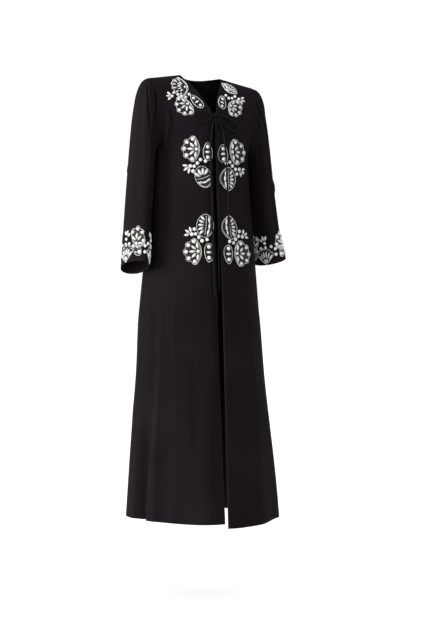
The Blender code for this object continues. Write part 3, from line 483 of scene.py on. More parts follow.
def body_row(at, towards):
    """The outer point, inner point and bulge of one row of a front (-1) or of half the back (1)."""
    if at <= UNDERARM:
        row = smooth_row(UPPER, at)
        turn = 0.5 * at / UNDERARM
        outer = ring_point(SLEEVE_HEAD[0], turn if towards < 0 else 1 - turn)
        if towards < 0:
            return outer, Vector((row.edge_x, row.edge_y, row.edge_z)), row.round
        inner = Vector((max(row.mid_x, 0.0), row.mid_y, row.mid_z))
        if NAPE - 1 < at < NAPE:    # the neckline runs level over the middle of the back
            away, nape = UPPER[NAPE - 1], UPPER[NAPE]
            share = (inner.x / away.mid_x) ** 2
            inner.y = nape.mid_y + (away.mid_y - nape.mid_y) * share
            inner.z = nape.mid_z + (away.mid_z - nape.mid_z) * share
        return outer, inner, row.round
    row = smooth_row(LOWER, at - UNDERARM)
    middle_y = (row.front_y + row.back_y) / 2
    side_y = middle_y * ease(2 * (at - UNDERARM))
    if towards < 0:
        return Vector((row.side_x, side_y, row.z)), Vector((row.gap, row.front_y, row.z)), 1.0
    return Vector((row.side_x, side_y, row.z)), Vector((0.0, row.back_y, row.z)), 1.0


def body_point(across, at, towards):
    """across runs from 0 at the armhole and side seam to 1 at the front edge or the centre back."""
    outer, inner, bulge = body_row(at, towards)
    quarter = math.pi / 2 * across
    along_x = (1 - bulge) * across + bulge * (1 - math.cos(quarter))
    along_y = (1 - bulge) * across + bulge * math.sin(quarter)
    return Vector((
        outer.x + (inner.x - outer.x) * along_x,
        outer.y + (inner.y - outer.y) * along_y,
        outer.z + (inner.z - outer.z) * across,
    ))


def body_outward(across, at, towards):
    """Straight out of the unfolded cloth. Along a seam it is the same for both pieces."""
    def plain(one, two):
        return body_point(one, two, towards)
    outward = normal_at(plain, across, at) * towards
    if at == 0:
        outward.y = 0.0
    return outward.normalized()


def fold_lift(turn, height):
    lift = 0.0
    for fold in FOLDS:
        grown = ease((fold.top - height) / (fold.top - fold.full))
        faded = 1 - ease((fold.full - FOLD_FADE - height) / (3 * FOLD_FADE))
        line = fold.turn_top + (fold.turn_low - fold.turn_top) * grown
        lift += fold.lift * grown * faded * hill(turn - line, fold.width)
    return lift


def wrinkle_lift(turn, height):
    lift = 0.0
    for crease in WRINKLES:
        part = (crease.high - height) / (crease.high - crease.low)
        if 0 < part < 1:
            line = crease.turn_from + (crease.turn_to - crease.turn_from) * part
            lift += crease.lift * math.sin(math.pi * part) ** 0.8 * hill(turn - line, crease.width)
    return lift


def hem_dip(turn, height):
    share = ease((DIP_FROM - height) / (HEM_DROP + DIP_FROM))
    return share * sum(dip.drop * hill(turn - dip.turn, dip.width) for dip in DIPS)


def panel_place(across, at, towards, side):
    """A point on the outer face of a body piece, folds and all, and the way out of the cloth."""
    point = body_point(across, at, towards)
    outward = body_outward(across, at, towards)
    turn = 1 + towards * across if side == RIGHT else 3 - towards * across
    point += outward * (fold_lift(turn, point.z) + wrinkle_lift(turn, point.z))
    point.z -= hem_dip(turn, point.z)
    flip = Vector((side, 1, 1))
    return hang(point * flip), outward * flip


def sleeve_point(turn, down, side):
    """A point on the outer face of a sleeve; down runs from 0 at the armhole to 1 at the cuff."""
    rings = SLEEVES[side]

    def plain(one, two):
        return ring_point(smooth_row(rings, two * (len(rings) - 1)), one)
    point = plain(turn, down)
    lift = 0.0
    for crease in CREASES[side]:
        part = (down - crease.down_from) / (crease.down_to - crease.down_from)
        if 0 < part < 1:
            line = crease.turn_from + (crease.turn_to - crease.turn_from) * part
            away = abs((turn - line + 0.5) % 1 - 0.5)
            lift += crease.lift * math.sin(math.pi * part) ** 0.7 * hill(away, crease.width)
    if lift:
        point += normal_at(plain, turn, down) * lift
    return hang(Vector((point.x * side, point.y, point.z)))


# ---- cloth pieces ----------------------------------------------------------------------------
def grid(cells, place, faces_out):
    """A grid of cells, each point placed by its column and row number, with its flat place as UV."""
    bm = bmesh.new()
    bmesh.ops.create_grid(bm, x_segments=cells[0], y_segments=cells[1], size=0.5)
    uv, flat = bm.loops.layers.uv.new("cut"), {}
    for vert in bm.verts:
        column = round((vert.co.x + 0.5) * cells[0])
        row = round((vert.co.y + 0.5) * cells[1])
        vert.co, flat[vert] = place(column, row)
    for face in bm.faces:
        for loop in face.loops:
            loop[uv].uv = flat[loop.vert]
    if not faces_out:
        bmesh.ops.reverse_faces(bm, faces=bm.faces)
    return bm


def panel(towards, side):
    """A front, or half of the back, as an open sheet. It dips into its seams."""
    last = UNDERARM + len(LOWER) - 1

    def place(column, row):
        across, down = column / PANEL_CELLS[0], row / PANEL_CELLS[1]
        at = last * (ROWS_EVEN * down + ROWS_CROWDED * down ** CROWDING)
        point, outward = panel_place(across, at, towards, side)
        point -= outward * SEAM_DEPTH * hill(min(column, row) * SEAM_CELL, SEAM_WIDTH)
        from_edge = (1 - across) * (PANEL_TOP + PANEL_FLARE * down)
        if towards > 0:
            from_edge += FAR_FROM_EDGE
        return point, (from_edge, body_point(across, at, towards).z + HEM_DROP)
    return grid(PANEL_CELLS, place, (side == LEFT) == (towards < 0))


def front(side, crepe, group):
    name = f"cloth_front_{SIDE_NAMES[side]}"
    return thicken(add_object(name, panel(-1, side), [crepe], group))


def back(crepe, group):
    whole = bmesh.new()
    for side in (RIGHT, LEFT):
        half = panel(1, side)
        mesh = bpy.data.meshes.new("half")
        half.to_mesh(mesh)
        half.free()
        whole.from_mesh(mesh)
        bpy.data.meshes.remove(mesh)
    bmesh.ops.remove_doubles(whole, verts=whole.verts, dist=1e-5)
    return thicken(add_object("cloth_back", whole, [crepe], group))


def sleeve(side, crepe, group):
    def place(column, row):
        turn, down = column % SLEEVE_CELLS[0] / SLEEVE_CELLS[0], row / SLEEVE_CELLS[1]
        point = sleeve_point(turn, down, side)
        if row == 0:
            point.x -= side * SEAM_DEPTH
        return point, (column / SLEEVE_CELLS[0] * SLEEVE_ROUND, (1 - down) * SLEEVE_LONG)
    bm = grid(SLEEVE_CELLS, place, side == LEFT)
    bmesh.ops.remove_doubles(bm, verts=bm.verts, dist=1e-6)
    return thicken(add_object(f"cloth_sleeve_{SIDE_NAMES[side]}", bm, [crepe], group))


def thicken(obj):
    wall = obj.modifiers.new("wall", "SOLIDIFY")
    wall.thickness = SHELL
    wall.offset = -1.0
    return obj


# ---- beads -----------------------------------------------------------------------------------
def around(place, angle, distance):
    return (place[0] + distance * math.cos(angle), place[1] + distance * math.sin(angle))


def arc(centre, radius, start, end, count=12):
    return [around(centre, start + (end - start) * step / count, radius) for step in range(count + 1)]


def bow(one, bulge, two, count=16):
    """Places on a curve from one place to another, pulled towards a third."""
    found = []
    for step in range(count + 1):
        part = step / count
        weights = ((1 - part) ** 2, 2 * part * (1 - part), part ** 2)
        found.append(tuple(
            sum(weight * place[axis] for weight, place in zip(weights, (one, bulge, two)))
            for axis in (0, 1)
        ))
    return found


def oval(place, aim, length, width, lobes=0, depth=0.0):
    found = []
    for step in range(49):
        angle = 2 * math.pi * step / 48
        swell = 1 + depth * math.cos(lobes * angle)
        along, across = swell * length / 2 * math.cos(angle), swell * width / 2 * math.sin(angle)
        found.append(around(around(place, aim, along), aim + math.pi / 2, across))
    return found


class Beadwork:
    """The beads of one piece, each by its kind, its place on the cloth, its turn and its size."""

    def __init__(self, frames, side, flip, seed, size, wider=1.0):
        self.frames, self.flip, self.turned, self.size = frames, flip, side * flip, size
        self.wider = wider
        self.rng = random.Random(seed)
        self.beads, self.patches = [], []

    def frame_at(self, out, up):
        return self.frames(out * self.wider if out > 0 else out, self.flip * up)

    def put(self, kind, place, aim, size):
        turn = aim + self.rng.uniform(-0.05, 0.05)
        grown = self.rng.uniform(0.96, 1.04)
        frame = self.frame_at(*place) @ Matrix.Rotation(turn * self.turned, 4, "Z")
        self.beads.append((kind, frame @ Matrix.Diagonal((*(grown * value for value in size), 1.0))))

    def pearl(self, place, size=1.0):
        radius, height = (size * self.size * value for value in PEARL)
        self.put("pearl", place, 0.0, (radius, radius, height))

    def petal(self, place, aim, size=PETAL):
        self.put("petal", place, aim, [self.size * value for value in size])

    def patch(self, outline, middle):
        """The satin-stitched ground under a motif, low at its edge."""
        def place(column, row):
            spot, (share, height) = outline[column % len(outline)], PATCH[row]
            where = [start + (end - start) * share for start, end in zip(middle, spot)]
            return self.frame_at(*where) @ Vector((0, 0, height)), where
        self.patches.append(grid((len(outline), len(PATCH) - 1), place, self.turned == LEFT))

    def row(self, places):
        """Small silver beads threaded along a line."""
        far, at = 0.0, 0.0
        for one, two in zip(places, places[1:]):
            length = math.dist(one, two)
            while at <= far + length:
                part = (at - far) / length
                spot = (one[0] + (two[0] - one[0]) * part, one[1] + (two[1] - one[1]) * part)
                self.put("seed", spot, 0.0, (SEED[0], SEED[0], SEED[1]))
                at += SEED_STEP
            far += length


def backed(work, motif, hub, aim, rim, outline):
    """The silver line round a fan, the double one behind its hub, and the ground under it all."""
    edge = SCALLOP * work.size
    tips = [around(rim[0], aim - 1.75, edge), around(rim[-1], aim + 1.75, edge)]
    behind = bow(tips[1], around(hub, aim + math.pi, BEHIND * motif.length), tips[0])
    work.row([tips[0], *outline, tips[1]])
    work.row(behind)
    work.row([around(spot, aim + math.pi, DOUBLE) for spot in behind])
    work.patch([*outline, *behind], around(hub, aim, GROUND_AT * motif.length))


def fan(work, motif, hub, aim):
    """A hub pearl, petals spreading from it to rim pearls and a scalloped outline."""
    reach, spread = motif.length, math.radians(motif.width)
    work.pearl(hub, 0.85)
    petal = (FAN_PETAL * reach / work.size, *PETAL[1:])
    rim, outline = [], []
    for step in range(motif.count):
        part = step / (motif.count - 1) - 0.5
        turn, angle = aim + FAN_OPEN * spread * part, aim + spread * part
        work.petal(around(hub, turn, FAN_PETAL_AT * reach), turn, petal)
        place = around(hub, angle, reach * (FAN_RIM + FAN_RIM_AHEAD * math.cos(angle - aim)))
        work.pearl(place)
        rim.append(place)
        outline += arc(place, SCALLOP * work.size, angle - 1.15, angle + 1.15, 8)
    backed(work, motif, hub, aim, rim, outline)


def plume(work, motif, hub, aim):
    """A fan packed with two rows of long petals, a silver loop round each outer one."""
    reach, spread = motif.length, math.radians(motif.width)
    work.pearl(hub, 0.8)
    rim, outline = [], []
    for step in range(motif.count):
        angle = aim + spread * (step / (motif.count - 1) - 0.5)
        far = reach * (PLUME_RIM + PLUME_RIM_AHEAD * math.cos(angle - aim))
        work.petal(around(hub, angle, PLUME_OUTER * far), angle, PLUME)
        place = around(hub, angle, PLUME_TIP * far)
        rim.append(place)
        outline += arc(place, LOOP, angle - 1.3, angle + 1.3, 8)
    for step in range(motif.count - 1):
        angle = aim + spread * ((step + 0.5) / (motif.count - 1) - 0.5)
        work.petal(around(hub, angle, PLUME_INNER * reach), angle, PLUME)
    backed(work, motif, hub, aim, rim, outline)


def leaf(work, motif, place, aim):
    """A silver oval round two pearls with a petal between them."""
    for end in (-1, 1):
        work.pearl(around(place, aim, end * LEAF_PEARLS * motif.length))
    work.petal(place, aim + math.pi / 2)
    outline = oval(place, aim, motif.length * 1.04, motif.width, 3, 0.05)
    work.row(outline)
    work.patch(outline[:-1], place)


def almond(place, aim, length, width, lean):
    """A blunt almond, its widest part moved along it by lean. It starts and ends at its foot."""
    found = []
    for step in range(40):
        angle = math.pi + 2 * math.pi * step / 40
        along = (math.cos(angle) + lean * math.sin(angle) ** 2) * length / 2
        across = math.copysign(abs(math.sin(angle)) ** 1.15, -math.sin(angle)) * width / 2
        found.append(around(around(place, aim, along), aim - math.pi / 2, across))
    return found


def shell(work, motif, place, aim):
    """An almond with ribs sloping off its bare spine, and long petals down its inner side."""
    long, wide, out = motif.length, motif.width, aim - math.pi / 2
    outline = almond(place, aim, long, wide, 0.03)
    work.row([*outline, outline[0]])
    work.patch(outline, place)
    ends = [around(place, aim, end * SPINE_ENDS * long) for end in (-1, 1)]
    work.row(bow(ends[0], around(place, out, SPINE_BEND * wide), ends[1])[1:-1])
    inner = almond(around(place, out, -0.02 * wide), aim, 0.88 * long, 0.88 * wide, 0.03)
    work.row(inner[-2:len(inner) // 2 + 1:-1])
    rib = [value * wide / SHELL_WIDTH for value in RIB]
    for step in range(motif.count):
        part = step / (motif.count - 1) * 2 - 1
        foot = around(place, aim, (part * RIBS_ALONG - 0.01) * long)
        foot = around(foot, out, wide * (RIBS_OUT - 0.07 * part * part))
        work.petal(foot, out + 0.10 + 0.85 * part, rib)
    for part in LONGS_AT:
        foot = around(place, aim, part * LONGS_ALONG * long)
        foot = around(foot, out, LONGS_OUT * wide * (1.1 - 0.50 * part * part))
        work.petal(foot, aim - 0.40 * part, LONG)


def sprig(work, motif, hub, aim):
    work.pearl(hub, 0.95)
    for step in range(motif.count):
        angle = aim + math.radians(motif.width) * (step / (motif.count - 1) - 0.5)
        work.petal(around(hub, angle, SPRIG_PETALS * motif.length), angle)


def half_shell(work, motif, foot, aim):
    """Long petals fanned up from a cuff's hem, each in its own silver loop."""
    reach, spread, loops = motif.length, math.radians(motif.width), []
    for step in range(motif.count):
        angle = aim + spread * (step / (motif.count - 1) - 0.5)
        work.petal(around(foot, angle, SPEARS * reach), angle, SPEAR)
        loops += arc(around(foot, angle, SPEAR_TIPS * reach), LOOP, angle - 1.3, angle + 1.3, 8)
    for step in range(1, motif.count - 1):
        angle = aim + spread * ((step + 0.5) / motif.count - 0.5)
        work.petal(around(foot, angle, SPLINTERS * reach), angle, SPLINTER)
    work.row([foot, *loops, foot])
    work.patch([foot, *loops], around(foot, aim, 0.5 * reach))


def pod(work, motif, place, aim):
    """A pearl and two petals side by side in an oval."""
    work.pearl(place, 1.1)
    for turn in (-1, 1):
        foot = around(place, aim + 0.42 * turn, POD_PETALS * motif.length)
        work.petal(foot, aim + 0.2 * turn, SPLINTER)
    middle = around(place, aim, POD_MIDDLE * motif.length)
    ring = oval(middle, aim, motif.length, motif.width)
    work.row(ring)
    work.patch(ring[:-1], middle)


def lone(work, motif, place, aim):
    work.pearl(place, 0.92)


KINDS = {
    "fan": fan, "plume": plume, "leaf": leaf, "shell": shell, "sprig": sprig, "half_shell": half_shell,
    "pod": pod, "pearl": lone,
}


def lay_motifs(work, motifs, shift=0.0):
    for motif in motifs:
        KINDS[motif.kind](work, motif, (motif.out + shift, motif.up), math.radians(motif.aim))


def dome(kind):
    """One bead of a kind, 1 across its half width and 1 high, with its flat foot on the ground."""
    round_count, up_count = {"pearl": (16, 10), "petal": (12, 8), "seed": (6, 4)}[kind]
    bm = bmesh.new()
    bmesh.ops.create_uvsphere(bm, u_segments=round_count, v_segments=up_count, radius=1.0)
    bmesh.ops.bisect_plane(
        bm, geom=bm.verts[:] + bm.edges[:] + bm.faces[:], plane_co=(0, 0, 0), plane_no=(0, 0, 1),
        clear_inner=True,
    )
    bmesh.ops.contextual_create(bm, geom=[edge for edge in bm.edges if edge.is_boundary])
    if kind == "petal":
        for vert in bm.verts:
            vert.co.y *= 1 - 0.62 * vert.co.x ** 2
            vert.co.z *= 1 - 0.30 * vert.co.x ** 2
    return bm


def frame(place, out, facing):
    """A frame that stands on the cloth, its X along out."""
    along = (out - facing * out.dot(facing)).normalized()
    turned = Matrix((along, facing.cross(along), facing)).transposed().to_4x4()
    return Matrix.Translation(place + facing * FOOT) @ turned


def front_frames(tree, plan, side):
    """Frames on a front: out from the front edge, up, and straight off the cloth."""
    start = Vector((side * plan.x, -1.0, plan.z - LEAN * side * plan.x))
    centre, normal, _, _ = tree.ray_cast(start, Vector((0, 1, 0)))
    up = (Vector((0, 0, 1)) - normal * normal.z).normalized()
    out = up.cross(normal) * side

    def frame_at(across, height):
        above = centre + out * across + up * height + normal * RAY
        place, facing, _, _ = tree.ray_cast(above, -normal)
        if place is None:
            raise ValueError(f"a bead hangs off the cloth at {above}")
        return frame(place, out, facing)
    return frame_at


def cuff_frames(tree, side):
    """Frames on a sleeve: out round it from the front towards its outer side, up from its hem."""
    def frame_at(across, height):
        turn = CUFF_START[side] - across / (CUFF_REPEATS * CUFF_ROUND)
        down = 1 - height / SLEEVE_LONG
        place, ahead = sleeve_point(turn, down, side), sleeve_point(turn - 1e-3, down, side)
        out = (ahead - place).normalized()
        above = sleeve_point(turn, down - 1e-3, side) - place
        facing = out.cross(above).normalized() * side
        hit, normal, _, _ = tree.ray_cast(place + facing * RAY / 10, -facing)
        if hit is None:
            raise ValueError(f"a bead hangs off the cuff at {place}")
        return frame(hit, out, normal if normal.dot(facing) > 0 else -normal)
    return frame_at


def sew(name, work, materials, group):
    """All the beads of one piece as one mesh, each with its own shade."""
    verts, faces, slots, shades = [], [], [], []
    shapes = {}
    for index, kind in enumerate(list(materials)[:-1]):
        bm = dome(kind)
        shapes[kind] = ([vert.co.copy() for vert in bm.verts],
                        [[vert.index for vert in face.verts] for face in bm.faces], index)
        bm.free()
    for kind, matrix in work.beads:
        points, polygons, slot = shapes[kind]
        first, shade = len(verts), work.rng.random()
        verts += [matrix @ point for point in points]
        faces += [[first + corner for corner in polygon] for polygon in polygons]
        slots += [slot] * len(polygons)
        shades += [shade] * len(points)
    for bm in work.patches:
        bmesh.ops.remove_doubles(bm, verts=bm.verts, dist=1e-6)
        bm.verts.index_update()
        first = len(verts)
        verts += [vert.co.copy() for vert in bm.verts]
        faces += [[first + vert.index for vert in face.verts] for face in bm.faces]
        slots += [len(shapes)] * len(bm.faces)
        shades += [0.5] * len(bm.verts)
        bm.free()
    mesh = bpy.data.meshes.new(name)
    mesh.from_pydata(verts, [], faces)
    mesh.shade_smooth()
    mesh.polygons.foreach_set("material_index", slots)
    mesh.attributes.new("shade", "FLOAT", "POINT").data.foreach_set("value", shades)
    for made in materials.values():
        mesh.materials.append(made)
    obj = bpy.data.objects.new(name, mesh)
    group.objects.link(obj)
    return obj


# ---- the tie ---------------------------------------------------------------------------------
def route_points(routes, trees, step):
    """A cord's points, evenly spaced along one smooth curve over the fronts."""
    def place(at):
        row = smooth_row(routes, at)
        side = RIGHT if row.x < 0 else LEFT
        start = Vector((side * max(abs(row.x), NEAR_EDGE), -1.0, row.z))
        hit = trees[side].ray_cast(start, Vector((0, 1, 0)))[0]
        return Vector((row.x, hit.y - row.lift, row.z))
    fine = [place(number / ROUTE_STEPS) for number in range(ROUTE_STEPS * (len(routes) - 1) + 1)]
    far = [0.0]
    for one, two in zip(fine, fine[1:]):
        far.append(far[-1] + (two - one).length)
    length = far[-1]
    count = round(length / (step * CORD))
    points = []
    for number in range(count + 1):
        wanted = length * number / count
        points.append(fine[min(range(len(far)), key=lambda i: abs(far[i] - wanted))])
    return points, length


def cord(name, points, made, group):
    curve = bpy.data.curves.new(name, "CURVE")
    curve.dimensions = "3D"
    curve.bevel_depth = CORD / 2
    curve.bevel_resolution = 4
    curve.use_fill_caps = True
    spline = curve.splines.new("POLY")
    spline.points.add(len(points) - 1)
    for point, place in zip(spline.points, points):
        point.co = (*place, 1.0)
    spline.use_smooth = True
    curve.materials.append(made)
    obj = bpy.data.objects.new(name, curve)
    group.objects.link(obj)
    return obj


def knot(made, group):
    """Three wraps of the cord drawn tight round a core."""
    bm = bmesh.new()
    for wrap in WRAPS:
        done = set(bm.verts)
        ring = bmesh.ops.create_circle(
            bm, segments=14, radius=KNOT_CORD, matrix=Matrix.Translation((0, 0, KNOT_RING)),
        )["verts"]
        bmesh.ops.spin(
            bm, geom=ring + [edge for edge in bm.edges if edge.verts[0] in ring],
            cent=(0, 0, 0), axis=(0, 1, 0), angle=2 * math.pi, steps=28, use_merge=True,
        )
        turned = Matrix.Rotation(wrap.tilt, 4, "Y") @ Matrix.Rotation(math.pi / 2, 4, "Z")
        bmesh.ops.transform(
            bm, matrix=Matrix.Translation((wrap.offset, 0, 0)) @ turned,
            verts=[vert for vert in bm.verts if vert not in done],
        )
    bmesh.ops.create_uvsphere(
        bm, u_segments=20, v_segments=12, radius=1.0, matrix=Matrix.Diagonal((*KNOT_CORE, 1.0)),
    )
    pressed = Matrix.Translation(KNOT_AT) @ Matrix.Diagonal((1, KNOT_FLAT, 1, 1))
    bmesh.ops.transform(bm, matrix=pressed, verts=bm.verts)
    bmesh.ops.recalc_face_normals(bm, faces=bm.faces)
    return add_object("bow_knot", bm, [made], group)


# ---- materials -------------------------------------------------------------------------------
class Value:
    """A number that varies over a surface, with ordinary arithmetic."""

    def __init__(self, paint, socket):
        self.paint, self.socket = paint, socket

    def math(self, operation, *others):
        node = self.paint.tree.nodes.new("ShaderNodeMath")
        node.operation = operation
        for socket, value in zip(node.inputs, (self, *others)):
            self.paint.feed(socket, value)
        return Value(self.paint, node.outputs[0])

    def __add__(self, other):
        return self.math("ADD", other)

    def __sub__(self, other):
        return self.math("SUBTRACT", other)

    def __rsub__(self, other):
        return (self * -1) + other

    def __mul__(self, other):
        return self.math("MULTIPLY", other)

    def __truediv__(self, other):
        return self.math("DIVIDE", other)

    __radd__ = __add__
    __rmul__ = __mul__

    def below(self, other):
        return self.math("LESS_THAN", other)


class Paint:
    """The nodes of one material."""

    def __init__(self, name, colour, roughness, constants):
        self.made = bpy.data.materials.new(name)
        self.made.use_nodes = True
        self.tree = self.made.node_tree
        self.shader = self.tree.nodes["Principled BSDF"]
        self.shader.inputs["Base Color"].default_value = (*colour, 1.0)
        self.shader.inputs["Roughness"].default_value = roughness
        for socket, value in constants.items():
            self.shader.inputs[socket].default_value = value

    def feed(self, socket, value):
        if isinstance(value, Value):
            self.tree.links.new(value.socket, socket)
        else:
            socket.default_value = value

    def node(self, kind, settings, inputs, output=0):
        made = self.tree.nodes.new(f"ShaderNode{kind}")
        for setting, value in settings.items():
            setattr(made, setting, value)
        for socket, value in inputs.items():
            self.feed(made.inputs[socket], value)
        return Value(self, made.outputs[output])

    def places(self, stretch=(1, 1, 1)):
        here = self.node("TexCoord", {}, {}, "Object")
        return self.node("VectorMath", {"operation": "MULTIPLY"}, {0: here, 1: stretch})

    def noise(self, where, scale, detail=2.0):
        return self.node("TexNoise", {}, {"Vector": where, "Scale": scale, "Detail": detail}, "Fac")

    def mix(self, share, one, two):
        """One tone or another; either may be a plain colour."""
        one, two = (tone if isinstance(tone, Value) else (*tone, 1.0) for tone in (one, two))
        return self.node("Mix", {"data_type": "RGBA"}, {0: share, 6: one, 7: two}, 2)

    def ramp(self, value, low, high):
        """0 where the value is low and 1 where it is high."""
        return self.node("MapRange", {"interpolation_type": "SMOOTHSTEP"}, {0: value, 1: low, 2: high})

    def bump(self, height, depth, strength=1.0):
        relief = self.node("Bump", {}, {"Height": height, "Distance": depth, "Strength": strength})
        self.feed(self.shader.inputs["Normal"], relief)

    def set(self, socket, value):
        self.feed(self.shader.inputs[socket], value)


def stitches(along, across, at):
    """Dashes of thread along a line, 1 on the thread."""
    dash = (along / STITCH).math("FRACT").below(STITCH_SHARE)
    near = (across - at).math("ABSOLUTE").below(STITCH_WIDTH)
    return dash * near


def crepe_cloth():
    """Matte black crepe: a fine pebbled grain, lengthwise slubs, a dusty bloom and topstitching."""
    paint = Paint("black_crepe", CREPE, 0.80, {
        "Sheen Weight": 0.009, "Sheen Roughness": 0.45, "Sheen Tint": (0.80, 0.66, 0.84, 1.0),
        "Specular IOR Level": 0.012,
    })
    here = paint.places()
    pebble = paint.noise(here, 1500.0, 3.0)
    slub = paint.noise(paint.places((1, 1, 0.08)), 900.0, 2.0)
    bloom = paint.noise(here, 5.0, 3.0)
    cut = paint.node("UVMap", {"uv_map": "cut"}, {})
    across, up = (paint.node("SeparateXYZ", {}, {0: cut}, axis) for axis in (0, 1))
    thread = stitches(up, across, EDGE_STITCH) + stitches(across, up, HEM_STITCH)
    worn = 1 - paint.ramp(across.math("MINIMUM", up), 0.0, WORN_WIDTH)
    tone = paint.mix(paint.ramp(bloom, 0.35, 0.70), CREPE, CREPE_LIGHT)
    tone = paint.mix(pebble * 0.35, tone, CREPE_DEEP)
    tone = paint.mix(worn * 0.30 + thread * 0.25, tone, CREPE_WORN)
    paint.set("Base Color", tone)
    paint.set("Roughness", 0.70 + pebble * 0.14 + bloom * 0.06)
    paint.bump(pebble * 0.55 + slub * 0.35 + thread * 0.9, 0.00035, 0.55)
    return paint.made


def cord_cloth():
    """Rouleau of the same crepe cut on the bias, a little smoother and shinier."""
    paint = Paint("crepe_cord", CREPE_CORD, 0.55, {
        "Sheen Weight": 0.012, "Sheen Roughness": 0.40, "Sheen Tint": (0.80, 0.74, 0.84, 1.0),
        "Specular IOR Level": 0.06,
    })
    here = paint.places()
    grain = paint.noise(here, 1300.0, 3.0)
    pulls = paint.noise(paint.places((1, 1, 0.25)), 260.0, 2.0)
    paint.set("Base Color", paint.mix(paint.ramp(pulls, 0.4, 0.7), CREPE_CORD, CREPE_CORD_LIGHT))
    paint.set("Roughness", 0.46 + grain * 0.16)
    paint.bump(grain * 0.5 + pulls * 0.8, 0.0004, 0.6)
    return paint.made


def bead_glaze(glaze):
    """A glossy bead, each a little different, with soft clouding and fine scuffs."""
    paint = Paint(glaze.name, glaze.one, glaze.roughness, {
        "Metallic": glaze.metallic, "Coat Weight": glaze.coat, "Coat Roughness": 0.08,
    })
    shade = paint.node("Attribute", {"attribute_name": "shade"}, {}, "Fac")
    here = paint.places()
    clouds = paint.noise(here, 320.0, 2.0)
    scuffs = paint.noise(here, 2200.0, 1.0)
    share = shade * 0.7 + paint.ramp(clouds, 0.35, 0.7) * glaze.cloud
    paint.set("Base Color", paint.mix(share, glaze.one, glaze.two))
    paint.set("Roughness", scuffs * 0.12 + shade * 0.06 + glaze.roughness)
    paint.bump(clouds * 0.6 + scuffs * 0.2, 0.0002, 0.4)
    return paint.made


def satin_ground():
    """Black thread laid close together under the beads."""
    paint = Paint("satin_ground", CREPE_DEEP, 0.60, {"Specular IOR Level": 0.25})
    threads = paint.noise(paint.places((1, 1, 0.1)), 1400.0, 2.0)
    loose = paint.noise(paint.places(), 90.0, 2.0)
    paint.set("Base Color", paint.mix(threads * 0.6 + loose * 0.3, CREPE_DEEP, CREPE))
    paint.set("Roughness", 0.48 + threads * 0.25)
    paint.bump(threads, 0.0004, 0.6)
    return paint.made


def floor_paint():
    paint = Paint("studio_floor", FLOOR, 0.6, {})
    here = paint.places()
    paint.set("Base Color", paint.mix(paint.noise(here, 0.7), FLOOR, FLOOR_SHADE))
    paint.set("Roughness", paint.noise(here, 9.0) * 0.1 + 0.55)
    return paint.made


# ---- the studio ------------------------------------------------------------------------------
def camera(group):
    data = bpy.data.cameras.new("camera")
    data.sensor_fit = "VERTICAL"
    data.sensor_height = SENSOR
    data.lens = LENS
    data.shift_x, data.shift_y = SHIFT
    data.clip_end = 200.0
    obj = bpy.data.objects.new("camera", data)
    back = Vector((math.sin(AZIMUTH), -math.cos(AZIMUTH), 0.0))
    obj.location = back * CAMERA_FAR + Vector((0, 0, CAMERA_UP))
    obj.rotation_euler = (math.pi / 2, 0.0, AZIMUTH)
    group.objects.link(obj)
    bpy.context.scene.camera = obj


def key_light(group):
    data = bpy.data.lights.new("key", "SUN")
    data.angle = math.radians(KEY_SOFT)
    data.energy = KEY_STRENGTH
    obj = bpy.data.objects.new("key", data)
    obj.rotation_euler = Vector(KEY_TOWARDS).to_track_quat("Z", "Y").to_euler()
    group.objects.link(obj)


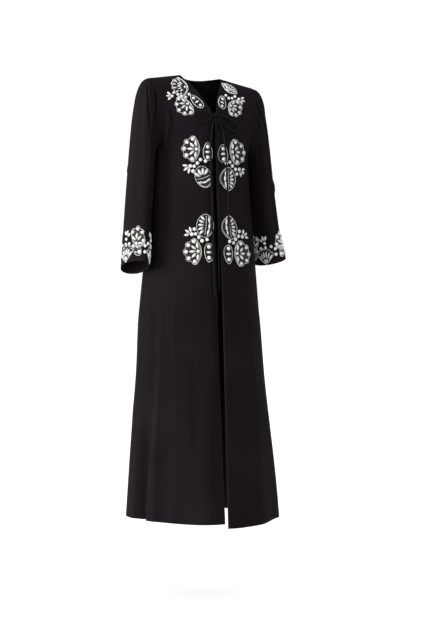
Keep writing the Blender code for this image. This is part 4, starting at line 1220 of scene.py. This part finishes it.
def studio(group):
    bpy.context.scene.view_settings.view_transform = "Standard"
    bm = bmesh.new()
    bmesh.ops.create_circle(bm, segments=64, radius=FLOOR_REACH, cap_ends=True)
    bmesh.ops.translate(bm, vec=(0, 0, FLOOR_LEVEL), verts=bm.verts)
    floor = add_object("floor", bm, [floor_paint()], group, smooth=False)
    key_light(group)
    world = bpy.data.worlds.new("studio")
    bpy.context.scene.world = world
    world.use_nodes = True
    tree = world.node_tree
    sky = tree.nodes["Background"]
    sky.inputs["Color"].default_value = (*SKY, 1.0)
    sky.inputs["Strength"].default_value = AMBIENT
    backdrop = tree.nodes.new("ShaderNodeBackground")
    backdrop.inputs["Color"].default_value = (*SKY, 1.0)
    backdrop.inputs["Strength"].default_value = BACKDROP
    ray, choice = tree.nodes.new("ShaderNodeLightPath"), tree.nodes.new("ShaderNodeMixShader")
    tree.links.new(ray.outputs["Is Camera Ray"], choice.inputs[0])
    tree.links.new(sky.outputs[0], choice.inputs[1])
    tree.links.new(backdrop.outputs[0], choice.inputs[2])
    tree.links.new(choice.outputs[0], tree.nodes["World Output"].inputs["Surface"])


# ---- the garment -----------------------------------------------------------------------------
def surface(obj):
    return BVHTree.FromObject(obj, bpy.context.evaluated_depsgraph_get())


def declare(obj, node):
    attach(obj, "root")
    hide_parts(node)


def tie(trees, group):
    made = cord_cloth()
    wraps = knot(made, group)
    declare(wraps, "tie_knot")
    kinds = (("loop", LOOPS, LOOP_STEP, "knot"), ("end", ENDS, END_STEP, "bare"))
    for kind, table, step, far_end in kinds:
        for name, routes in table.items():
            points, length = route_points(routes, trees, step)
            piece = cord(f"cord_{kind}_{name}", points, made, group)
            declare(piece, f"tie_{kind}_{name}")


def main():
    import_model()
    group = collection("abaya")
    camera(group)
    crepe = crepe_cloth()
    beads = {kind: bead_glaze(glaze) for kind, glaze in GLAZES.items()}
    beads["patch"] = satin_ground()
    trees, cloths = {}, {}
    for side in (RIGHT, LEFT):
        name = SIDE_NAMES[side]
        half = front(side, crepe, group)
        trees[side] = surface(half)
        declare(half, f"front_{name}")
        cloths[half] = CUTS["front"]
        for place, plan in APPLIQUES.items():
            frames = front_frames(trees[side], plan, side)
            motifs, wider = (plan.right, 1.0) if side == RIGHT else (plan.left, plan.wider)
            work = Beadwork(frames, side, plan.flip, f"{place}{name}", plan.beads, wider)
            lay_motifs(work, motifs)
            sewn = sew(f"beadwork_{place}_{name}", work, beads, group)
            declare(sewn, f"beads_{place}_{name}")
        arm = sleeve(side, crepe, group)
        declare(arm, f"sleeve_{name}")
        cloths[arm] = CUTS["sleeve"]
        work = Beadwork(cuff_frames(surface(arm), side), side, 1, f"cuff{name}", CUFF_BEADS)
        for repeat in range(CUFF_REPEATS):
            lay_motifs(work, CUFF_MOTIFS, repeat * CUFF_ROUND)
        sewn = sew(f"beadwork_cuff_{name}", work, beads, group)
        declare(sewn, f"beads_cuff_{name}")
    rear = back(crepe, group)
    declare(rear, "back")
    cloths[rear] = CUTS["back"]
    tie(trees, group)
    studio(group)


main()
